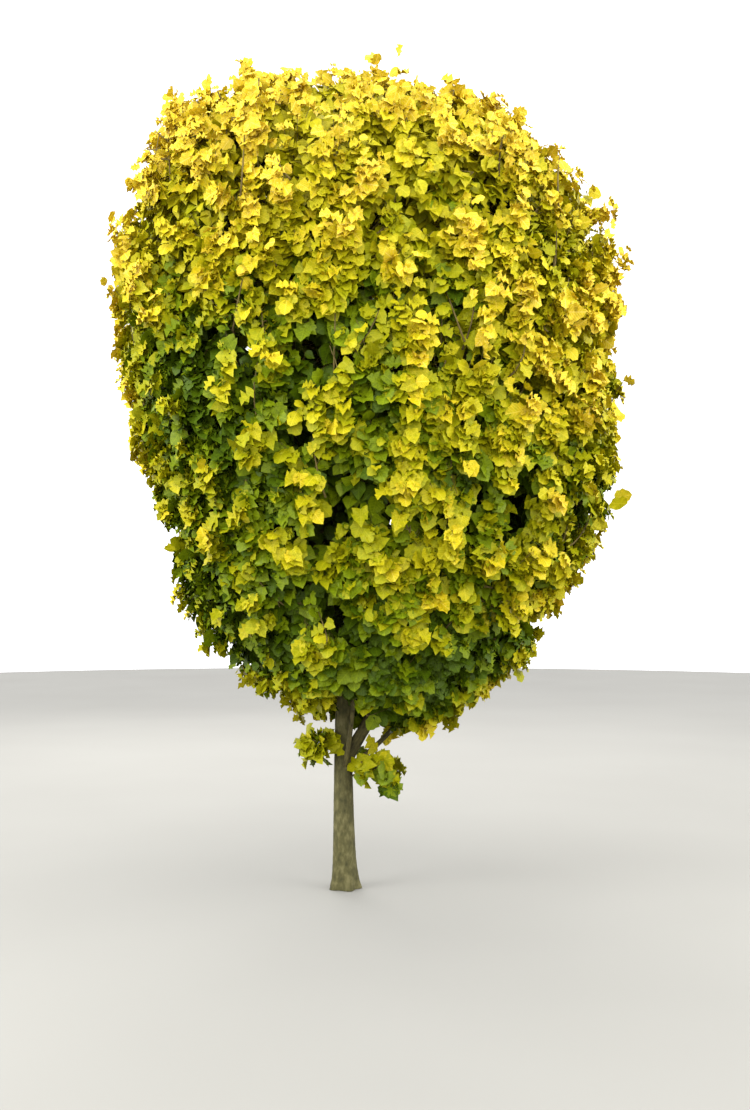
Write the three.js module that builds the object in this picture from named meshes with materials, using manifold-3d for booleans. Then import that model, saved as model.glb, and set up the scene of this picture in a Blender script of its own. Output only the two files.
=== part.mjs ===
// A golden Dutch elm in early summer, grown as a small garden tree: a short trunk with a slight root flare,
// a leader that runs up through the crown, steeply rising boughs, and a dense egg-shaped crown that is
// widest above its middle. Two short sprays of leaves stand on the bare trunk under the crown.
// The crown is a set of foliage masses. Each keeps to its own space. It has one stem that goes on from the
// tip of its bough, twigs that branch from the stem by a seeded rule, leaves at the twigs, and a smaller
// core that the twigs and leaves stand out of. One leaf here stands for a spray of the small real leaves.
// Millimetres, +Z up. The origin is the centre of the flat cut under the trunk, at ground level.
// +X is to the right and -Y to the front.
import * as THREE from "three";
import { mergeVertices } from "three/addons/utils/BufferGeometryUtils.js";
import Module from "manifold-3d";

const wasm = await Module();
wasm.setup();

// The crown's outline
const CROWN_FOOT = 650;
const CROWN_WAIST = 2600;
const CROWN_TOP = 3480;
const CROWN_RADIUS = 1090;
const SHOULDER_POWER = 2.6;
const SKIRT_POWER = 2.4;
const SKIRT_ROUNDING = 0.58;
const CROWN_OFFSET = 160;
const CROWN_OFFSET_HEIGHT = 1000;
const CROWN_SWEEP = 3.5e-5;

// The trunk
const TRUNK_TIP = 2790;
const TRUNK_FOOT_RADIUS = 50;
const TRUNK_FORK_RADIUS = 34;
const FORK_HEIGHT = 737;
const LEADER_RADIUS = 24;
const LEADER_START = 1000;
const LEADER_TIP_RADIUS = 9;
const FLARE = 16;
const FLARE_HEIGHT = 70;
const BUTTRESSES = 5;
const BUTTRESS_DEPTH = 0.13;
const BOW = 8;
const BOW_HEIGHT = 1500;
const LEAN = 90;
const LEAN_START = 700;
const LEAN_HEIGHT = 700;
const UPPER_SLOPE = 0.0133;
const SWAY = 18;
const SWAY_LENGTH = 480;
const TRUNK_SIDES = 15;
const TRUNK_STEPS = 14;
const TRUNK_STEP_POWER = 1.6;

// The boughs. A bend is given as shares of the way out and of the way up from root to tip. The lowest main
// bough is the heaviest, and turns out from the trunk more sharply than the others.
const MAIN_BEND = { out: 0.45, up: 0.45 };
const LOWEST_BEND = { out: 0.62, up: 0.2 };
const MAIN_TAKE_OFFS = [545, 1080, 940, 1180, 1320];
const MAIN_RADII = [28, 18, 20, 18, 17];
const SECOND_BEND = { out: 0.6, up: 0.36 };
const SECOND_RADIUS = 12;
const BOUGH_TIP_RADIUS = 9;
const CARRIER_RISE = 120;
const CARRIER_TURN = 60;

// Clearances
const TOUCH_GAP = 0.35;
const LEAF_CLEARANCE = 3;
const SPACE_GAP = 4;
const SMALLEST_EDGE = 0.5;

// Foliage. What is called a share is a share of the way from a mass's centre to the edge of its space, or
// of a leaf's length.
const CORE_SHARE = 0.68;
const CORE_GAP = 18;
const STEM_SHARE = 0.4;
const STEM_RADIUS = 9;
const STEM_TIP_RADIUS = 6;
const TWIGS = 4;
const TWIG_SHARE = 0.84;
const TWIG_LEAN = 0.3;
const TWIG_RADIUS = 7;
const TWIG_TIP_RADIUS = 6;
const LEAVES_PER_TWIG = 3;
const LEAF_STEP_SHARE = 0.03;
const CORE_LEAVES = 8;
const CORE_LEAF_SINK = 22;
const SPREAD = 1.25;
const LEAF_LEAN = 0.8;
const LEAF_SHARE = 0.98;
const LEAF_LENGTH = 290;
const LEAF_SHORTEST = 0.9;
const LEAF_VARIATION = 0.25;
const LEAF_WIDTH_SHARE = 0.72;
const LEAF_FOLD_SHARE = 0.06;
const LEAF_WIDEST_SHARE = 0.42;
const LEAF_TRIES = [1, 0.8, 0.62];
const SPRAY_TWIGS = 3;
const SPRAY_TWIG_SCALE = 0.45;
const SPRAY_LEAF_SCALE = 0.32;
const GOLDEN_ANGLE = Math.PI * (3 - Math.sqrt(5));

const UP = new THREE.Vector3(0, 0, 1);
const ACROSS = new THREE.Vector3(1, 0, 0);
const BACK = new THREE.Vector3(0, 1, 0);

// The tiers of foliage masses: how many stand in the ring, the height of their centres and by how much
// neighbours differ, how far out they stand as a share of the crown's radius there, the turn of the first in
// degrees, the radius of one mass, and from what height up, over what rise, their boughs take off.
const TIERS = [
  { name: "top", count: 1, height: 3090, stagger: 0, share: 0, turn: 0, size: 450 },
  { name: "shoulder", count: 5, height: 2960, stagger: 35, share: 0.6, turn: 14, size: 480 },
  { name: "upper", count: 7, height: 2460, stagger: 60, share: 0.69, turn: 0, size: 480, takeOff: 1600, rise: 300 },
  { name: "middle", count: 7, height: 1930, stagger: 60, share: 0.68, turn: 26, size: 480, takeOff: 1200, rise: 300 },
  { name: "lower", count: 5, height: 1420, stagger: 50, share: 0.62, turn: 0, size: 470, takeOff: 780, rise: 250 },
  { name: "skirt", count: 3, height: 990, stagger: 30, share: 0.52, turn: 12, size: 400, takeOff: 500, rise: 300 },
];
const HEIGHT_VARIATION = 40;
const TOP_LIFT = 1900;
const LIFT_START = 1300;
const SPRAY_LIFT = 0.3;
const GOLD_FROM = 1700;
const LOW_SPRAYS = [
  { name: "low_spray_left", at: [-98, -14, 622], size: 84, root: [-6, 0, 590] },
  { name: "low_spray_right", at: [140, -20, 512], size: 112, root: [0, 0, 470] },
];

const BARK = new THREE.MeshStandardMaterial({ color: 0x6b5d4a, roughness: 0.9, metalness: 0 });
const GOLD_LEAF = new THREE.MeshStandardMaterial({ color: 0xdcc020, roughness: 0.6, metalness: 0 });
const LIME_LEAF = new THREE.MeshStandardMaterial({ color: 0x9db01c, roughness: 0.6, metalness: 0 });

// A repeatable stream of numbers from 0 to 1.
function seededStream(seed) {
  let state = seed * 7919 + 104729;
  return () => {
    state = (state * 16807) % 2147483647;
    return state / 2147483647;
  };
}

function smooth(t) {
  const held = THREE.MathUtils.clamp(t, 0, 1);
  return held * held * (3 - 2 * held);
}

function along(from, direction, distance) {
  return from.clone().addScaledVector(direction, distance);
}

function crownAxis(z) {
  return CROWN_OFFSET - CROWN_SWEEP * (z - CROWN_OFFSET_HEIGHT) ** 2;
}

function crownRadius(z) {
  if (z >= CROWN_TOP || z <= CROWN_FOOT) return 0;
  if (z >= CROWN_WAIST) {
    const rise = (z - CROWN_WAIST) / (CROWN_TOP - CROWN_WAIST);
    return CROWN_RADIUS * (1 - rise ** SHOULDER_POWER) ** (1 / SHOULDER_POWER);
  }
  const drop = (CROWN_WAIST - z) / (CROWN_WAIST - CROWN_FOOT);
  return CROWN_RADIUS * (1 - drop ** SKIRT_POWER) ** SKIRT_ROUNDING;
}

// The trunk bows a little to the left, leans to the right at the fork and sways to and fro in depth.
function trunkAxis(z) {
  const bow = -BOW * Math.sin((Math.PI * Math.min(z, BOW_HEIGHT)) / BOW_HEIGHT);
  const lean = LEAN * smooth((z - LEAN_START) / LEAN_HEIGHT);
  const upper = UPPER_SLOPE * Math.max(z - LEAN_START - LEAN_HEIGHT, 0);
  return new THREE.Vector3(bow + lean + upper, SWAY * Math.sin(z / SWAY_LENGTH) * smooth(z / SWAY_LENGTH), z);
}

// The trunk tapers to the fork, narrows there to the leader, and tapers on to its tip.
function trunkRadius(z) {
  const foot = THREE.MathUtils.mapLinear(Math.min(z, FORK_HEIGHT), 0, FORK_HEIGHT, TRUNK_FOOT_RADIUS, TRUNK_FORK_RADIUS);
  const narrowing = (LEADER_RADIUS - TRUNK_FORK_RADIUS) * smooth((z - FORK_HEIGHT) / (LEADER_START - FORK_HEIGHT));
  const past = Math.max(z - LEADER_START, 0) / (TRUNK_TIP - LEADER_START);
  return foot + narrowing + (LEADER_TIP_RADIUS - LEADER_RADIUS) * past + FLARE * Math.exp(-z / FLARE_HEIGHT);
}

// The solid of a closed geometry, and the geometry of a solid.
function solidOf(geometry) {
  geometry.deleteAttribute("normal");
  geometry.deleteAttribute("uv");
  const merged = mergeVertices(geometry, 1e-3);
  const vertProperties = merged.attributes.position.array;
  return new wasm.Manifold(new wasm.Mesh({ numProp: 3, vertProperties, triVerts: new Uint32Array(merged.index.array) }));
}

function geometryOf(solid) {
  const mesh = solid.getMesh();
  const geometry = new THREE.BufferGeometry();
  geometry.setAttribute("position", new THREE.BufferAttribute(mesh.vertProperties, 3));
  geometry.setIndex(new THREE.BufferAttribute(mesh.triVerts, 1));
  geometry.computeVertexNormals();
  return geometry;
}

// The largest body of a solid. A scrap that a cut left loose, or a hollow that a join sealed, is dropped.
function largestBody(solid) {
  return solid.decompose().reduce((best, body) => (body.volume() > best.volume() ? body : best));
}

// A cylinder whose rings are carried along a path. ringAt gives each ring's centre, radius and two axes.
function sweptSolid(sides, steps, ringAt) {
  const geometry = new THREE.CylinderGeometry(1, 1, 1, sides, steps);
  const place = geometry.getAttribute("position");
  for (let i = 0; i < place.count; i++) {
    const [x, z] = [place.getX(i), place.getZ(i)];
    const ring = ringAt(Math.round((place.getY(i) + 0.5) * steps), Math.atan2(z, x));
    const at = along(along(ring.centre, ring.across, x * ring.radius), ring.other, -z * ring.radius);
    place.setXYZ(i, at.x, at.y, at.z);
  }
  return solidOf(geometry);
}

// The trunk has level rings, so that its foot is flat on the ground, closer together near the flare.
// The same trunk or limb swollen by a margin, also at its tip, is what others are kept clear of.
function trunkSolid(margin) {
  return sweptSolid(TRUNK_SIDES, TRUNK_STEPS, (ring, angle) => {
    const z = TRUNK_TIP * (ring / TRUNK_STEPS) ** TRUNK_STEP_POWER;
    const lobe = 1 + BUTTRESS_DEPTH * Math.cos(BUTTRESSES * angle) * Math.exp(-z / FLARE_HEIGHT);
    const centre = along(trunkAxis(z), UP, ring === TRUNK_STEPS ? margin : 0);
    return { centre, radius: trunkRadius(z) * lobe + margin, across: ACROSS, other: BACK };
  });
}

// Two directions square to a given one and to each other.
function squareTo(direction) {
  const side = new THREE.Vector3().crossVectors(direction, Math.abs(direction.z) > 0.9 ? ACROSS : UP).normalize();
  return [side, new THREE.Vector3().crossVectors(direction, side)];
}

// A limb, stem or twig has one bend from its root to its tip and tapers evenly.
function limbSolid({ root, bend, tip, rootRadius, tipRadius }, sides, steps, margin = 0) {
  const curve = new THREE.QuadraticBezierCurve3(root, bend, tip);
  const [across] = squareTo(tip.clone().sub(root).normalize());
  return sweptSolid(sides, steps, (ring) => {
    const tangent = curve.getTangent(ring / steps);
    const other = new THREE.Vector3().crossVectors(tangent, across).normalize();
    const past = ring === 0 ? -margin : ring === steps ? margin : 0;
    return {
      centre: along(curve.getPoint(ring / steps), tangent, past),
      radius: THREE.MathUtils.lerp(rootRadius, tipRadius, ring / steps) + margin,
      across: new THREE.Vector3().crossVectors(other, tangent),
      other,
    };
  });
}

function pointOn({ root, bend, tip }, t) {
  return new THREE.QuadraticBezierCurve3(root, bend, tip).getPoint(t);
}

// The centres of the foliage masses, tier by tier, and of the two low sprays.
function placeMasses() {
  const masses = [];
  for (const tier of TIERS) {
    for (let i = 0; i < tier.count; i++) {
      const random = seededStream(masses.length + 1);
      const stagger = tier.count > 1 ? tier.stagger * (i % 2 ? 1 : -1) + HEIGHT_VARIATION * (random() - 0.5) : 0;
      const height = tier.height + stagger;
      const azimuth = tier.turn + (360 * i) / tier.count;
      const outward = ACROSS.clone().applyAxisAngle(UP, THREE.MathUtils.degToRad(azimuth));
      const centre = along(new THREE.Vector3(crownAxis(height), 0, height), outward, tier.share * crownRadius(height));
      const name = `foliage_${tier.name}${tier.count > 1 ? `_${i + 1}` : ""}`;
      const lift = smooth((centre.z - LIFT_START) / TOP_LIFT);
      masses.push({ name, tier, place: i, azimuth, outward, centre, size: tier.size, inCrown: true, lift });
    }
  }
  for (const spray of LOW_SPRAYS) {
    const centre = new THREE.Vector3(...spray.at);
    const entry = new THREE.Vector3(...spray.root);
    const outward = new THREE.Vector3(centre.x - entry.x, centre.y - entry.y, 0).normalize();
    masses.push({ name: spray.name, outward, centre, entry, size: spray.size, inCrown: false, lift: SPRAY_LIFT });
  }
  masses.forEach((mass, i) => {
    mass.seed = i + 1;
    mass.twigs = mass.inCrown ? TWIGS : SPRAY_TWIGS;
    mass.twigScale = mass.inCrown ? 1 : SPRAY_TWIG_SCALE;
    mass.leafLength = LEAF_LENGTH * (mass.inCrown ? 1 : SPRAY_LEAF_SCALE);
    const outward = mass.outward.clone().multiplyScalar(1 - 0.75 * mass.lift);
    mass.heading = along(outward, UP, 0.35 + 0.65 * mass.lift).normalize();
  });
  return masses;
}

// The planes that part each mass's space from its neighbours', half a gap short of the middle.
function partSpaces(masses) {
  for (const mass of masses) {
    const others = masses.filter((other) => other !== mass);
    mass.walls = others.map((other) => {
      const normal = other.centre.clone().sub(mass.centre);
      const apart = normal.length();
      normal.divideScalar(apart);
      const middle = (apart * apart + mass.size ** 2 - other.size ** 2) / (2 * apart);
      return { normal, reach: normal.dot(mass.centre) + middle - SPACE_GAP / 2 };
    });
  }
}

function inSpace(mass, at) {
  if (at.distanceTo(mass.centre) > mass.size) return false;
  if (mass.inCrown && Math.hypot(at.x - crownAxis(at.z), at.y) > crownRadius(at.z)) return false;
  return mass.walls.every(({ normal, reach }) => normal.dot(at) <= reach);
}

// How far one can go from the centre of a mass before leaving its space.
function reachOf(mass, direction) {
  let near = 0;
  let far = mass.size;
  for (let halving = 0; halving < 16; halving++) {
    const middle = (near + far) / 2;
    if (inSpace(mass, along(mass.centre, direction, middle))) near = middle;
    else far = middle;
  }
  return near;
}

// The direction that leans from a given one by an angle, to the side that a bearing round it names.
function leanedFrom(direction, angle, bearing) {
  const [side, other] = squareTo(direction);
  const sideways = along(side.multiplyScalar(Math.cos(bearing)), other, Math.sin(bearing));
  return along(direction.clone().multiplyScalar(Math.cos(angle)), sideways, Math.sin(angle));
}

// Directions spread evenly round a heading by the golden angle, from close to it to somewhat behind it.
function spreadDirection(heading, index, count, phase) {
  return leanedFrom(heading, Math.acos(1 - ((index + 0.5) / count) * SPREAD), index * GOLDEN_ANGLE + phase);
}

// Of four directions that lean from a given one, the one in which the space of a mass reaches furthest.
function roomiest(mass, direction, lean, phase) {
  const options = [0, 1, 2, 3].map((quarter) => leanedFrom(direction, lean, phase + (quarter * Math.PI) / 2));
  return options.reduce((best, option) => (reachOf(mass, option) > reachOf(mass, best) ? option : best));
}

// A leaf: a six-faced blade, pointed at both ends and folded along its middle. It is a ball of three by two
// segments, whose poles are the leaf's root and tip and whose equator is its two sides and its midrib.
function leafOf(root, tip, facing) {
  const length = root.distanceTo(tip);
  const direction = tip.clone().sub(root).normalize();
  const normal = facing.clone().addScaledVector(direction, -facing.dot(direction)).normalize();
  const side = new THREE.Vector3().crossVectors(normal, direction);
  const geometry = new THREE.SphereGeometry(1, 3, 2);
  const place = geometry.getAttribute("position");
  const corners = [];
  for (let i = 0; i < place.count; i++) {
    const [x, y, z] = [place.getX(i), place.getY(i), place.getZ(i)];
    const forward = y > 0.5 ? 1 : y < -0.5 ? 0 : LEAF_WIDEST_SHARE;
    const at = along(root, direction, forward * length);
    at.addScaledVector(side, (-z * LEAF_WIDTH_SHARE * length) / Math.sqrt(3));
    at.addScaledVector(normal, (-x * LEAF_FOLD_SHARE * length) / 1.5);
    place.setXYZ(i, at.x, at.y, at.z);
    corners.push(at);
  }
  return { solid: solidOf(geometry), corners };
}

// The core of a mass is its space, shrunk towards the centre.
function shapeCore(mass) {
  const geometry = new THREE.IcosahedronGeometry(1, 0);
  const place = geometry.getAttribute("position");
  const direction = new THREE.Vector3();
  mass.coreCorners = [];
  for (let i = 0; i < place.count; i++) {
    direction.fromBufferAttribute(place, i).normalize();
    const at = along(mass.centre, direction, CORE_SHARE * reachOf(mass, direction));
    place.setXYZ(i, at.x, at.y, at.z);
    mass.coreCorners.push(at);
  }
  mass.core = solidOf(geometry);
}

// How far from its centre a line leaves the core of a mass.
function coreReach({ centre, coreCorners }, direction) {
  const ray = new THREE.Ray(centre, direction);
  const found = new THREE.Vector3();
  for (let i = 0; i < coreCorners.length; i += 3) {
    const face = coreCorners.slice(i, i + 3);
    if (ray.intersectTriangle(...face, false, found)) return found.distanceTo(centre);
  }
  return 0;
}

// Where the bough of a mass ends: just outside the core, on the line to where the bough comes from.
function entryOf(mass, from) {
  const direction = from.clone().sub(mass.centre).normalize();
  return along(mass.centre, direction, coreReach(mass, direction) + CORE_GAP);
}

// The space that limbs take: the real solids, and the same swollen to two margins.
const limbs = [{ name: "trunk", solid: trunkSolid(0), near: trunkSolid(TOUCH_GAP), wide: trunkSolid(LEAF_CLEARANCE) }];

// A bough from its carrier to the mass that it bears, cut clear of every limb made before it.
function addBough(mass, name, from, rootRadius, bendShares, sides, steps) {
  const entry = entryOf(mass, from);
  const run = entry.clone().sub(from);
  const bend = from.clone().add(run.multiply(new THREE.Vector3(bendShares.out, bendShares.out, bendShares.up)));
  const bough = { root: from, bend, tip: entry, rootRadius, tipRadius: BOUGH_TIP_RADIUS, azimuth: mass.azimuth };
  const others = wasm.Manifold.union(limbs.map(({ near }) => near));
  const solid = largestBody(limbSolid(bough, sides, steps).subtract(others).simplify(SMALLEST_EDGE / 10));
  const near = limbSolid(bough, sides, steps, TOUCH_GAP);
  const wide = limbSolid(bough, sides, steps, LEAF_CLEARANCE);
  limbs.push({ name, solid, near, wide });
  mass.entry = entry;
  return bough;
}

// The point of a main bough at a height.
function pointAtHeight(bough, height) {
  for (let t = 0; t < 1; t += 0.01) {
    const at = pointOn(bough, t);
    if (at.z >= height) return at;
  }
  return bough.tip;
}

// Where a second bough leaves: the main bough on its side of the tree, if there is one, or else the trunk.
function carrierOf(mass, mainBoughs, height) {
  const turnFrom = (bough) => Math.abs(((bough.azimuth - mass.azimuth + 540) % 360) - 180);
  const standing = mainBoughs.filter((bough) => bough.root.z < height - CARRIER_RISE);
  const [nearest] = standing.sort((a, b) => turnFrom(a) - turnFrom(b));
  return nearest && turnFrom(nearest) < CARRIER_TURN ? pointAtHeight(nearest, height) : trunkAxis(height);
}

// One foliage mass. A twig or leaf that would leave the mass's space or touch a limb is left out, and a leaf
// that would touch another leaf is tried again shorter first.
function growMass(mass, nearLimbs, wideLimbs) {
  const random = seededStream(mass.seed);
  const top = along(mass.centre, mass.heading, STEM_SHARE * reachOf(mass, mass.heading));
  const [rootRadius, tipRadius] = [STEM_RADIUS * mass.twigScale, STEM_TIP_RADIUS * mass.twigScale];
  const stem = { root: mass.entry, bend: mass.centre, tip: top, rootRadius, tipRadius };
  const wood = [limbSolid(stem, 3, 2)];
  const leaves = [];

  const addLeaf = (root, towards) => {
    const target = along(mass.centre, towards, LEAF_SHARE * reachOf(mass, towards));
    const pointing = target.sub(root);
    const length = Math.min(pointing.length(), mass.leafLength * (LEAF_SHORTEST + LEAF_VARIATION * random()));
    pointing.normalize();
    const facing = root.clone().sub(mass.centre).normalize();
    for (const share of LEAF_TRIES) {
      const leaf = leafOf(root, along(root, pointing, length * share), facing);
      const fits = leaf.corners.every((corner) => inSpace(mass, corner));
      const free = fits && leaf.solid.intersect(wideLimbs).isEmpty();
      if (free && leaves.every((other) => other.intersect(leaf.solid).isEmpty())) {
        leaves.push(leaf.solid);
        return;
      }
    }
  };

  for (let index = 0; index < mass.twigs; index++) {
    const spread = spreadDirection(mass.heading, index, mass.twigs, random());
    const direction = roomiest(mass, spread, TWIG_LEAN, random());
    const turn = random() * 2 * Math.PI;
    const reach = reachOf(mass, direction);
    const tip = along(mass.centre, direction, TWIG_SHARE * reach);
    const root = pointOn(stem, 0.95 - (0.45 * index) / mass.twigs);
    const twig = { root, bend: root.clone().lerp(tip, 0.5), tip };
    twig.rootRadius = TWIG_RADIUS * mass.twigScale;
    twig.tipRadius = TWIG_TIP_RADIUS * mass.twigScale;
    const twigSolid = limbSolid(twig, 3, 1);
    if (!twigSolid.intersect(wideLimbs).isEmpty()) continue;
    wood.push(twigSolid);
    const outward = tip.clone().sub(root).normalize();
    for (let leaf = 0; leaf < LEAVES_PER_TWIG; leaf++) {
      const bearing = turn + (leaf * 2 * Math.PI) / LEAVES_PER_TWIG;
      const lean = (LEAF_LEAN * mass.leafLength) / reach;
      addLeaf(pointOn(twig, 1 - LEAF_STEP_SHARE * (leaf + 1)), leanedFrom(outward, lean, bearing));
    }
  }

  if (mass.core) {
    wood.push(mass.core);
    for (let index = 0; index < CORE_LEAVES; index++) {
      const direction = spreadDirection(mass.heading, index + 0.5, CORE_LEAVES + 1, 2.4 + random());
      const root = along(mass.centre, direction, coreReach(mass, direction) - CORE_LEAF_SINK);
      const lean = (LEAF_LEAN * mass.leafLength) / reachOf(mass, direction);
      addLeaf(root, roomiest(mass, direction, lean, random()));
    }
  }
  return largestBody(wasm.Manifold.union([...wood, ...leaves]).simplify(SMALLEST_EDGE).subtract(nearLimbs));
}

const masses = placeMasses();
partSpaces(masses);
masses.filter(({ inCrown }) => inCrown).forEach(shapeCore);

// Each shoulder mass is borne by a main bough. The trunk's own tip bears the top mass.
const mainBoughs = masses
  .filter(({ tier }) => tier?.name === "shoulder")
  .map((mass) => {
    const from = trunkAxis(MAIN_TAKE_OFFS[mass.place]);
    const name = `main_bough_${mass.place + 1}`;
    const bend = mass.place === 0 ? LOWEST_BEND : MAIN_BEND;
    return addBough(mass, name, from, MAIN_RADII[mass.place], bend, 7, 7);
  });
masses[0].entry = trunkAxis(TRUNK_TIP);
for (const mass of masses.filter(({ tier }) => tier?.takeOff)) {
  const { takeOff, rise, count } = mass.tier;
  const height = takeOff + (rise * ((mass.place * 3) % count)) / count;
  const from = takeOff > LEADER_START ? carrierOf(mass, mainBoughs, height) : trunkAxis(height);
  addBough(mass, mass.name.replace("foliage", "bough"), from, SECOND_RADIUS, SECOND_BEND, 5, 4);
}

const nearLimbs = wasm.Manifold.union(limbs.map(({ near }) => near));
const wideLimbs = wasm.Manifold.union(limbs.map(({ wide }) => wide));
const elm = new THREE.Group();

function addMesh(name, solid, material) {
  const mesh = new THREE.Mesh(geometryOf(solid), material);
  mesh.name = name;
  elm.add(mesh);
}

for (const { name, solid } of limbs) addMesh(name, solid, BARK);
for (const mass of masses) {
  addMesh(mass.name, growMass(mass, nearLimbs, wideLimbs), mass.centre.z > GOLD_FROM ? GOLD_LEAF : LIME_LEAF);
}

export default elm;
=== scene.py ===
# %% [markdown]
# # A golden elm in early summer
# This lesson dresses the imported solids of a small garden elm. The trunk and boughs get a mesh with the
# relief of young bark. Each foliage mass becomes what it stands for: a stem, twigs, shoots and leaves.
# The imported model comes first, because every piece has to sit where its solid is. Its solids are kept
# and only hidden once they are dressed.

import math
from functools import partial
from types import SimpleNamespace

import bpy
import numpy as np
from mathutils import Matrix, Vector, geometry, kdtree, noise


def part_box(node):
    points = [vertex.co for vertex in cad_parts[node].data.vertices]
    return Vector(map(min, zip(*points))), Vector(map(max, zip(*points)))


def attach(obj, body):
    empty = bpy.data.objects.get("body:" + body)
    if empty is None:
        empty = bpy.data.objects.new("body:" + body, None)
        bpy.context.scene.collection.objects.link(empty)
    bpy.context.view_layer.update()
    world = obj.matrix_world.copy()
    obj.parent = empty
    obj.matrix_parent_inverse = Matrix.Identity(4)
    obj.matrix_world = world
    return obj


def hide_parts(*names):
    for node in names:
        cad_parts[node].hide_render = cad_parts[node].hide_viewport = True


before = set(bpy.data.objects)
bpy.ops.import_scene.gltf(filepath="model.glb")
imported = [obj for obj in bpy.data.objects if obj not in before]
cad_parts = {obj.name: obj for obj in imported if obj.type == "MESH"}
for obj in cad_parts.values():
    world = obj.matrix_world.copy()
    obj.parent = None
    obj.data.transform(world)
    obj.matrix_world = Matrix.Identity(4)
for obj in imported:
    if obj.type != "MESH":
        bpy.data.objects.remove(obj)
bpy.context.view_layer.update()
MM = 0.001

# %% [markdown]
# ## The camera
# The tree was seen from about five metres away, at a height of one metre thirty, tilted up a little. A
# camera needs its place, its tilt and its focal length, and that length follows from how many pixels one
# metre takes at the trunk.

# %% Place the camera
CAMERA_AT = (0.13, -5.26, 1.3)
CAMERA_TILT = math.radians(1.41)
FOCAL_PIXELS, FRAME_HEIGHT, SENSOR = 1216, 1110, 36

bpy.ops.object.select_all(action="DESELECT")
bpy.ops.object.camera_add(location=CAMERA_AT, rotation=(math.pi / 2 + CAMERA_TILT, 0, 0))
camera = bpy.context.object
camera.data.sensor_width = SENSOR
camera.data.lens = FOCAL_PIXELS / FRAME_HEIGHT * SENSOR
bpy.context.scene.camera = camera
print("lens", round(camera.data.lens, 2), "mm")

# %% [markdown]
# ## Light
# A crown needs much soft light all round, or its inside turns black, and a little more from some sides, or
# it looks flat. Most of it comes from a pale sky. A wide lamp hangs over the tree, a weak one stands high
# on the right in front, and stronger ones in front, at both sides and behind lift what faces them.

# %% Hang the lamps
LOOK_AT = Vector((0, 0, 1.9))
SKY_COLOUR, SKY_STRENGTH = (0.97, 0.98, 1.0, 1), 1.8
# Each lamp has its place, its width, its power in watts and its colour.
LAMPS = [
    ("key_lamp", (3.0, -3.8, 7.6), 3.2, 55, (1.0, 0.98, 0.93)),
    ("top_lamp", (0.3, -0.6, 8.6), 6.0, 190, (1.0, 0.99, 0.97)),
    ("front_lamp", (0.4, -8.0, 4.6), 4.5, 220, (1.0, 0.995, 0.98)),
    ("left_lamp", (-5.5, -3.0, 4.2), 4.0, 310, (0.97, 0.99, 1.0)),
    ("right_lamp", (5.8, -2.2, 4.0), 4.0, 190, (0.97, 0.99, 1.0)),
    ("back_lamp", (-1.5, 5.5, 5.0), 3.5, 220, (1.0, 0.99, 0.97)),
]

for name, place, width, watts, colour in LAMPS:
    turn = (LOOK_AT - Vector(place)).to_track_quat("-Z", "Y").to_euler()
    bpy.ops.object.light_add(type="AREA", location=place, rotation=turn)
    lamp = bpy.context.object
    lamp.name = name
    lamp.data.size = width
    lamp.data.energy = watts
    lamp.data.color = colour

sky = bpy.data.worlds.new("pale_sky")
bpy.context.scene.world = sky
sky.use_nodes = True
sky.node_tree.nodes["Background"].inputs["Color"].default_value = SKY_COLOUR
sky.node_tree.nodes["Background"].inputs["Strength"].default_value = SKY_STRENGTH
bpy.context.scene.view_settings.view_transform = "Standard"
print("lamps", len(bpy.data.lights))

# %% [markdown]
# ## Colours and nodes
# Colours are read off as sRGB hex values, and a shader wants them linear, so one function turns them. One
# more function adds any node with its colour stops, settings in small letters and inputs by name or number,
# and each finish is then a short list of calls. A node given as a value stands for its first output.

# %% Colour and node helpers


def linear(hex_colour):
    values = [int(hex_colour[i:i + 2], 16) / 255 for i in (1, 3, 5)]
    bent = [v / 12.92 if v <= 0.04045 else ((v + 0.055) / 1.055) ** 2.4 for v in values]
    return (*bent, 1.0)


def fill_in(node, **given):
    for name, value in given.items():
        if name.islower():
            setattr(node, name, value)
            continue
        place = node.inputs[int(name[1:])] if name[1:].isdigit() else node.inputs[name.replace("_", " ")]
        if isinstance(value, bpy.types.Node):
            value = value.outputs[0]
        if isinstance(value, bpy.types.NodeSocket):
            node.id_data.links.new(value, place)
        else:
            place.default_value = value


def add_node(tree, kind, stops=(), **given):
    node = tree.nodes.new("ShaderNode" + kind)
    for index, (position, colour) in enumerate(stops):
        elements = node.color_ramp.elements
        stop = elements[index] if index < 2 else elements.new(position)
        stop.position = position
        stop.color = linear(colour)
    fill_in(node, **given)
    return node


def new_finish(name):
    finish = bpy.data.materials.new(name)
    finish.use_nodes = True
    return finish, finish.node_tree.nodes["Principled BSDF"], partial(add_node, finish.node_tree)


print("gold reads as", [round(v, 3) for v in linear("#dcc020")])

# %% [markdown]
# ## Bark
# A young elm's bark is olive-grey and fairly smooth, with shallow lengthwise furrows and faint lighter
# streaks. The relief is modelled into the mesh. The finish adds the colour: noise stretched along the limb,
# read from a map that runs round and along each limb in metres, so the streaks follow every bend.

# %% Bark finish
STREAK_WIDTH, STREAK_LENGTH, BLOTCH_WIDTH = 7 * MM, 35 * MM, 45 * MM
STREAK_SHARE, BLOTCH_SHARE = 0.6, 0.5


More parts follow.
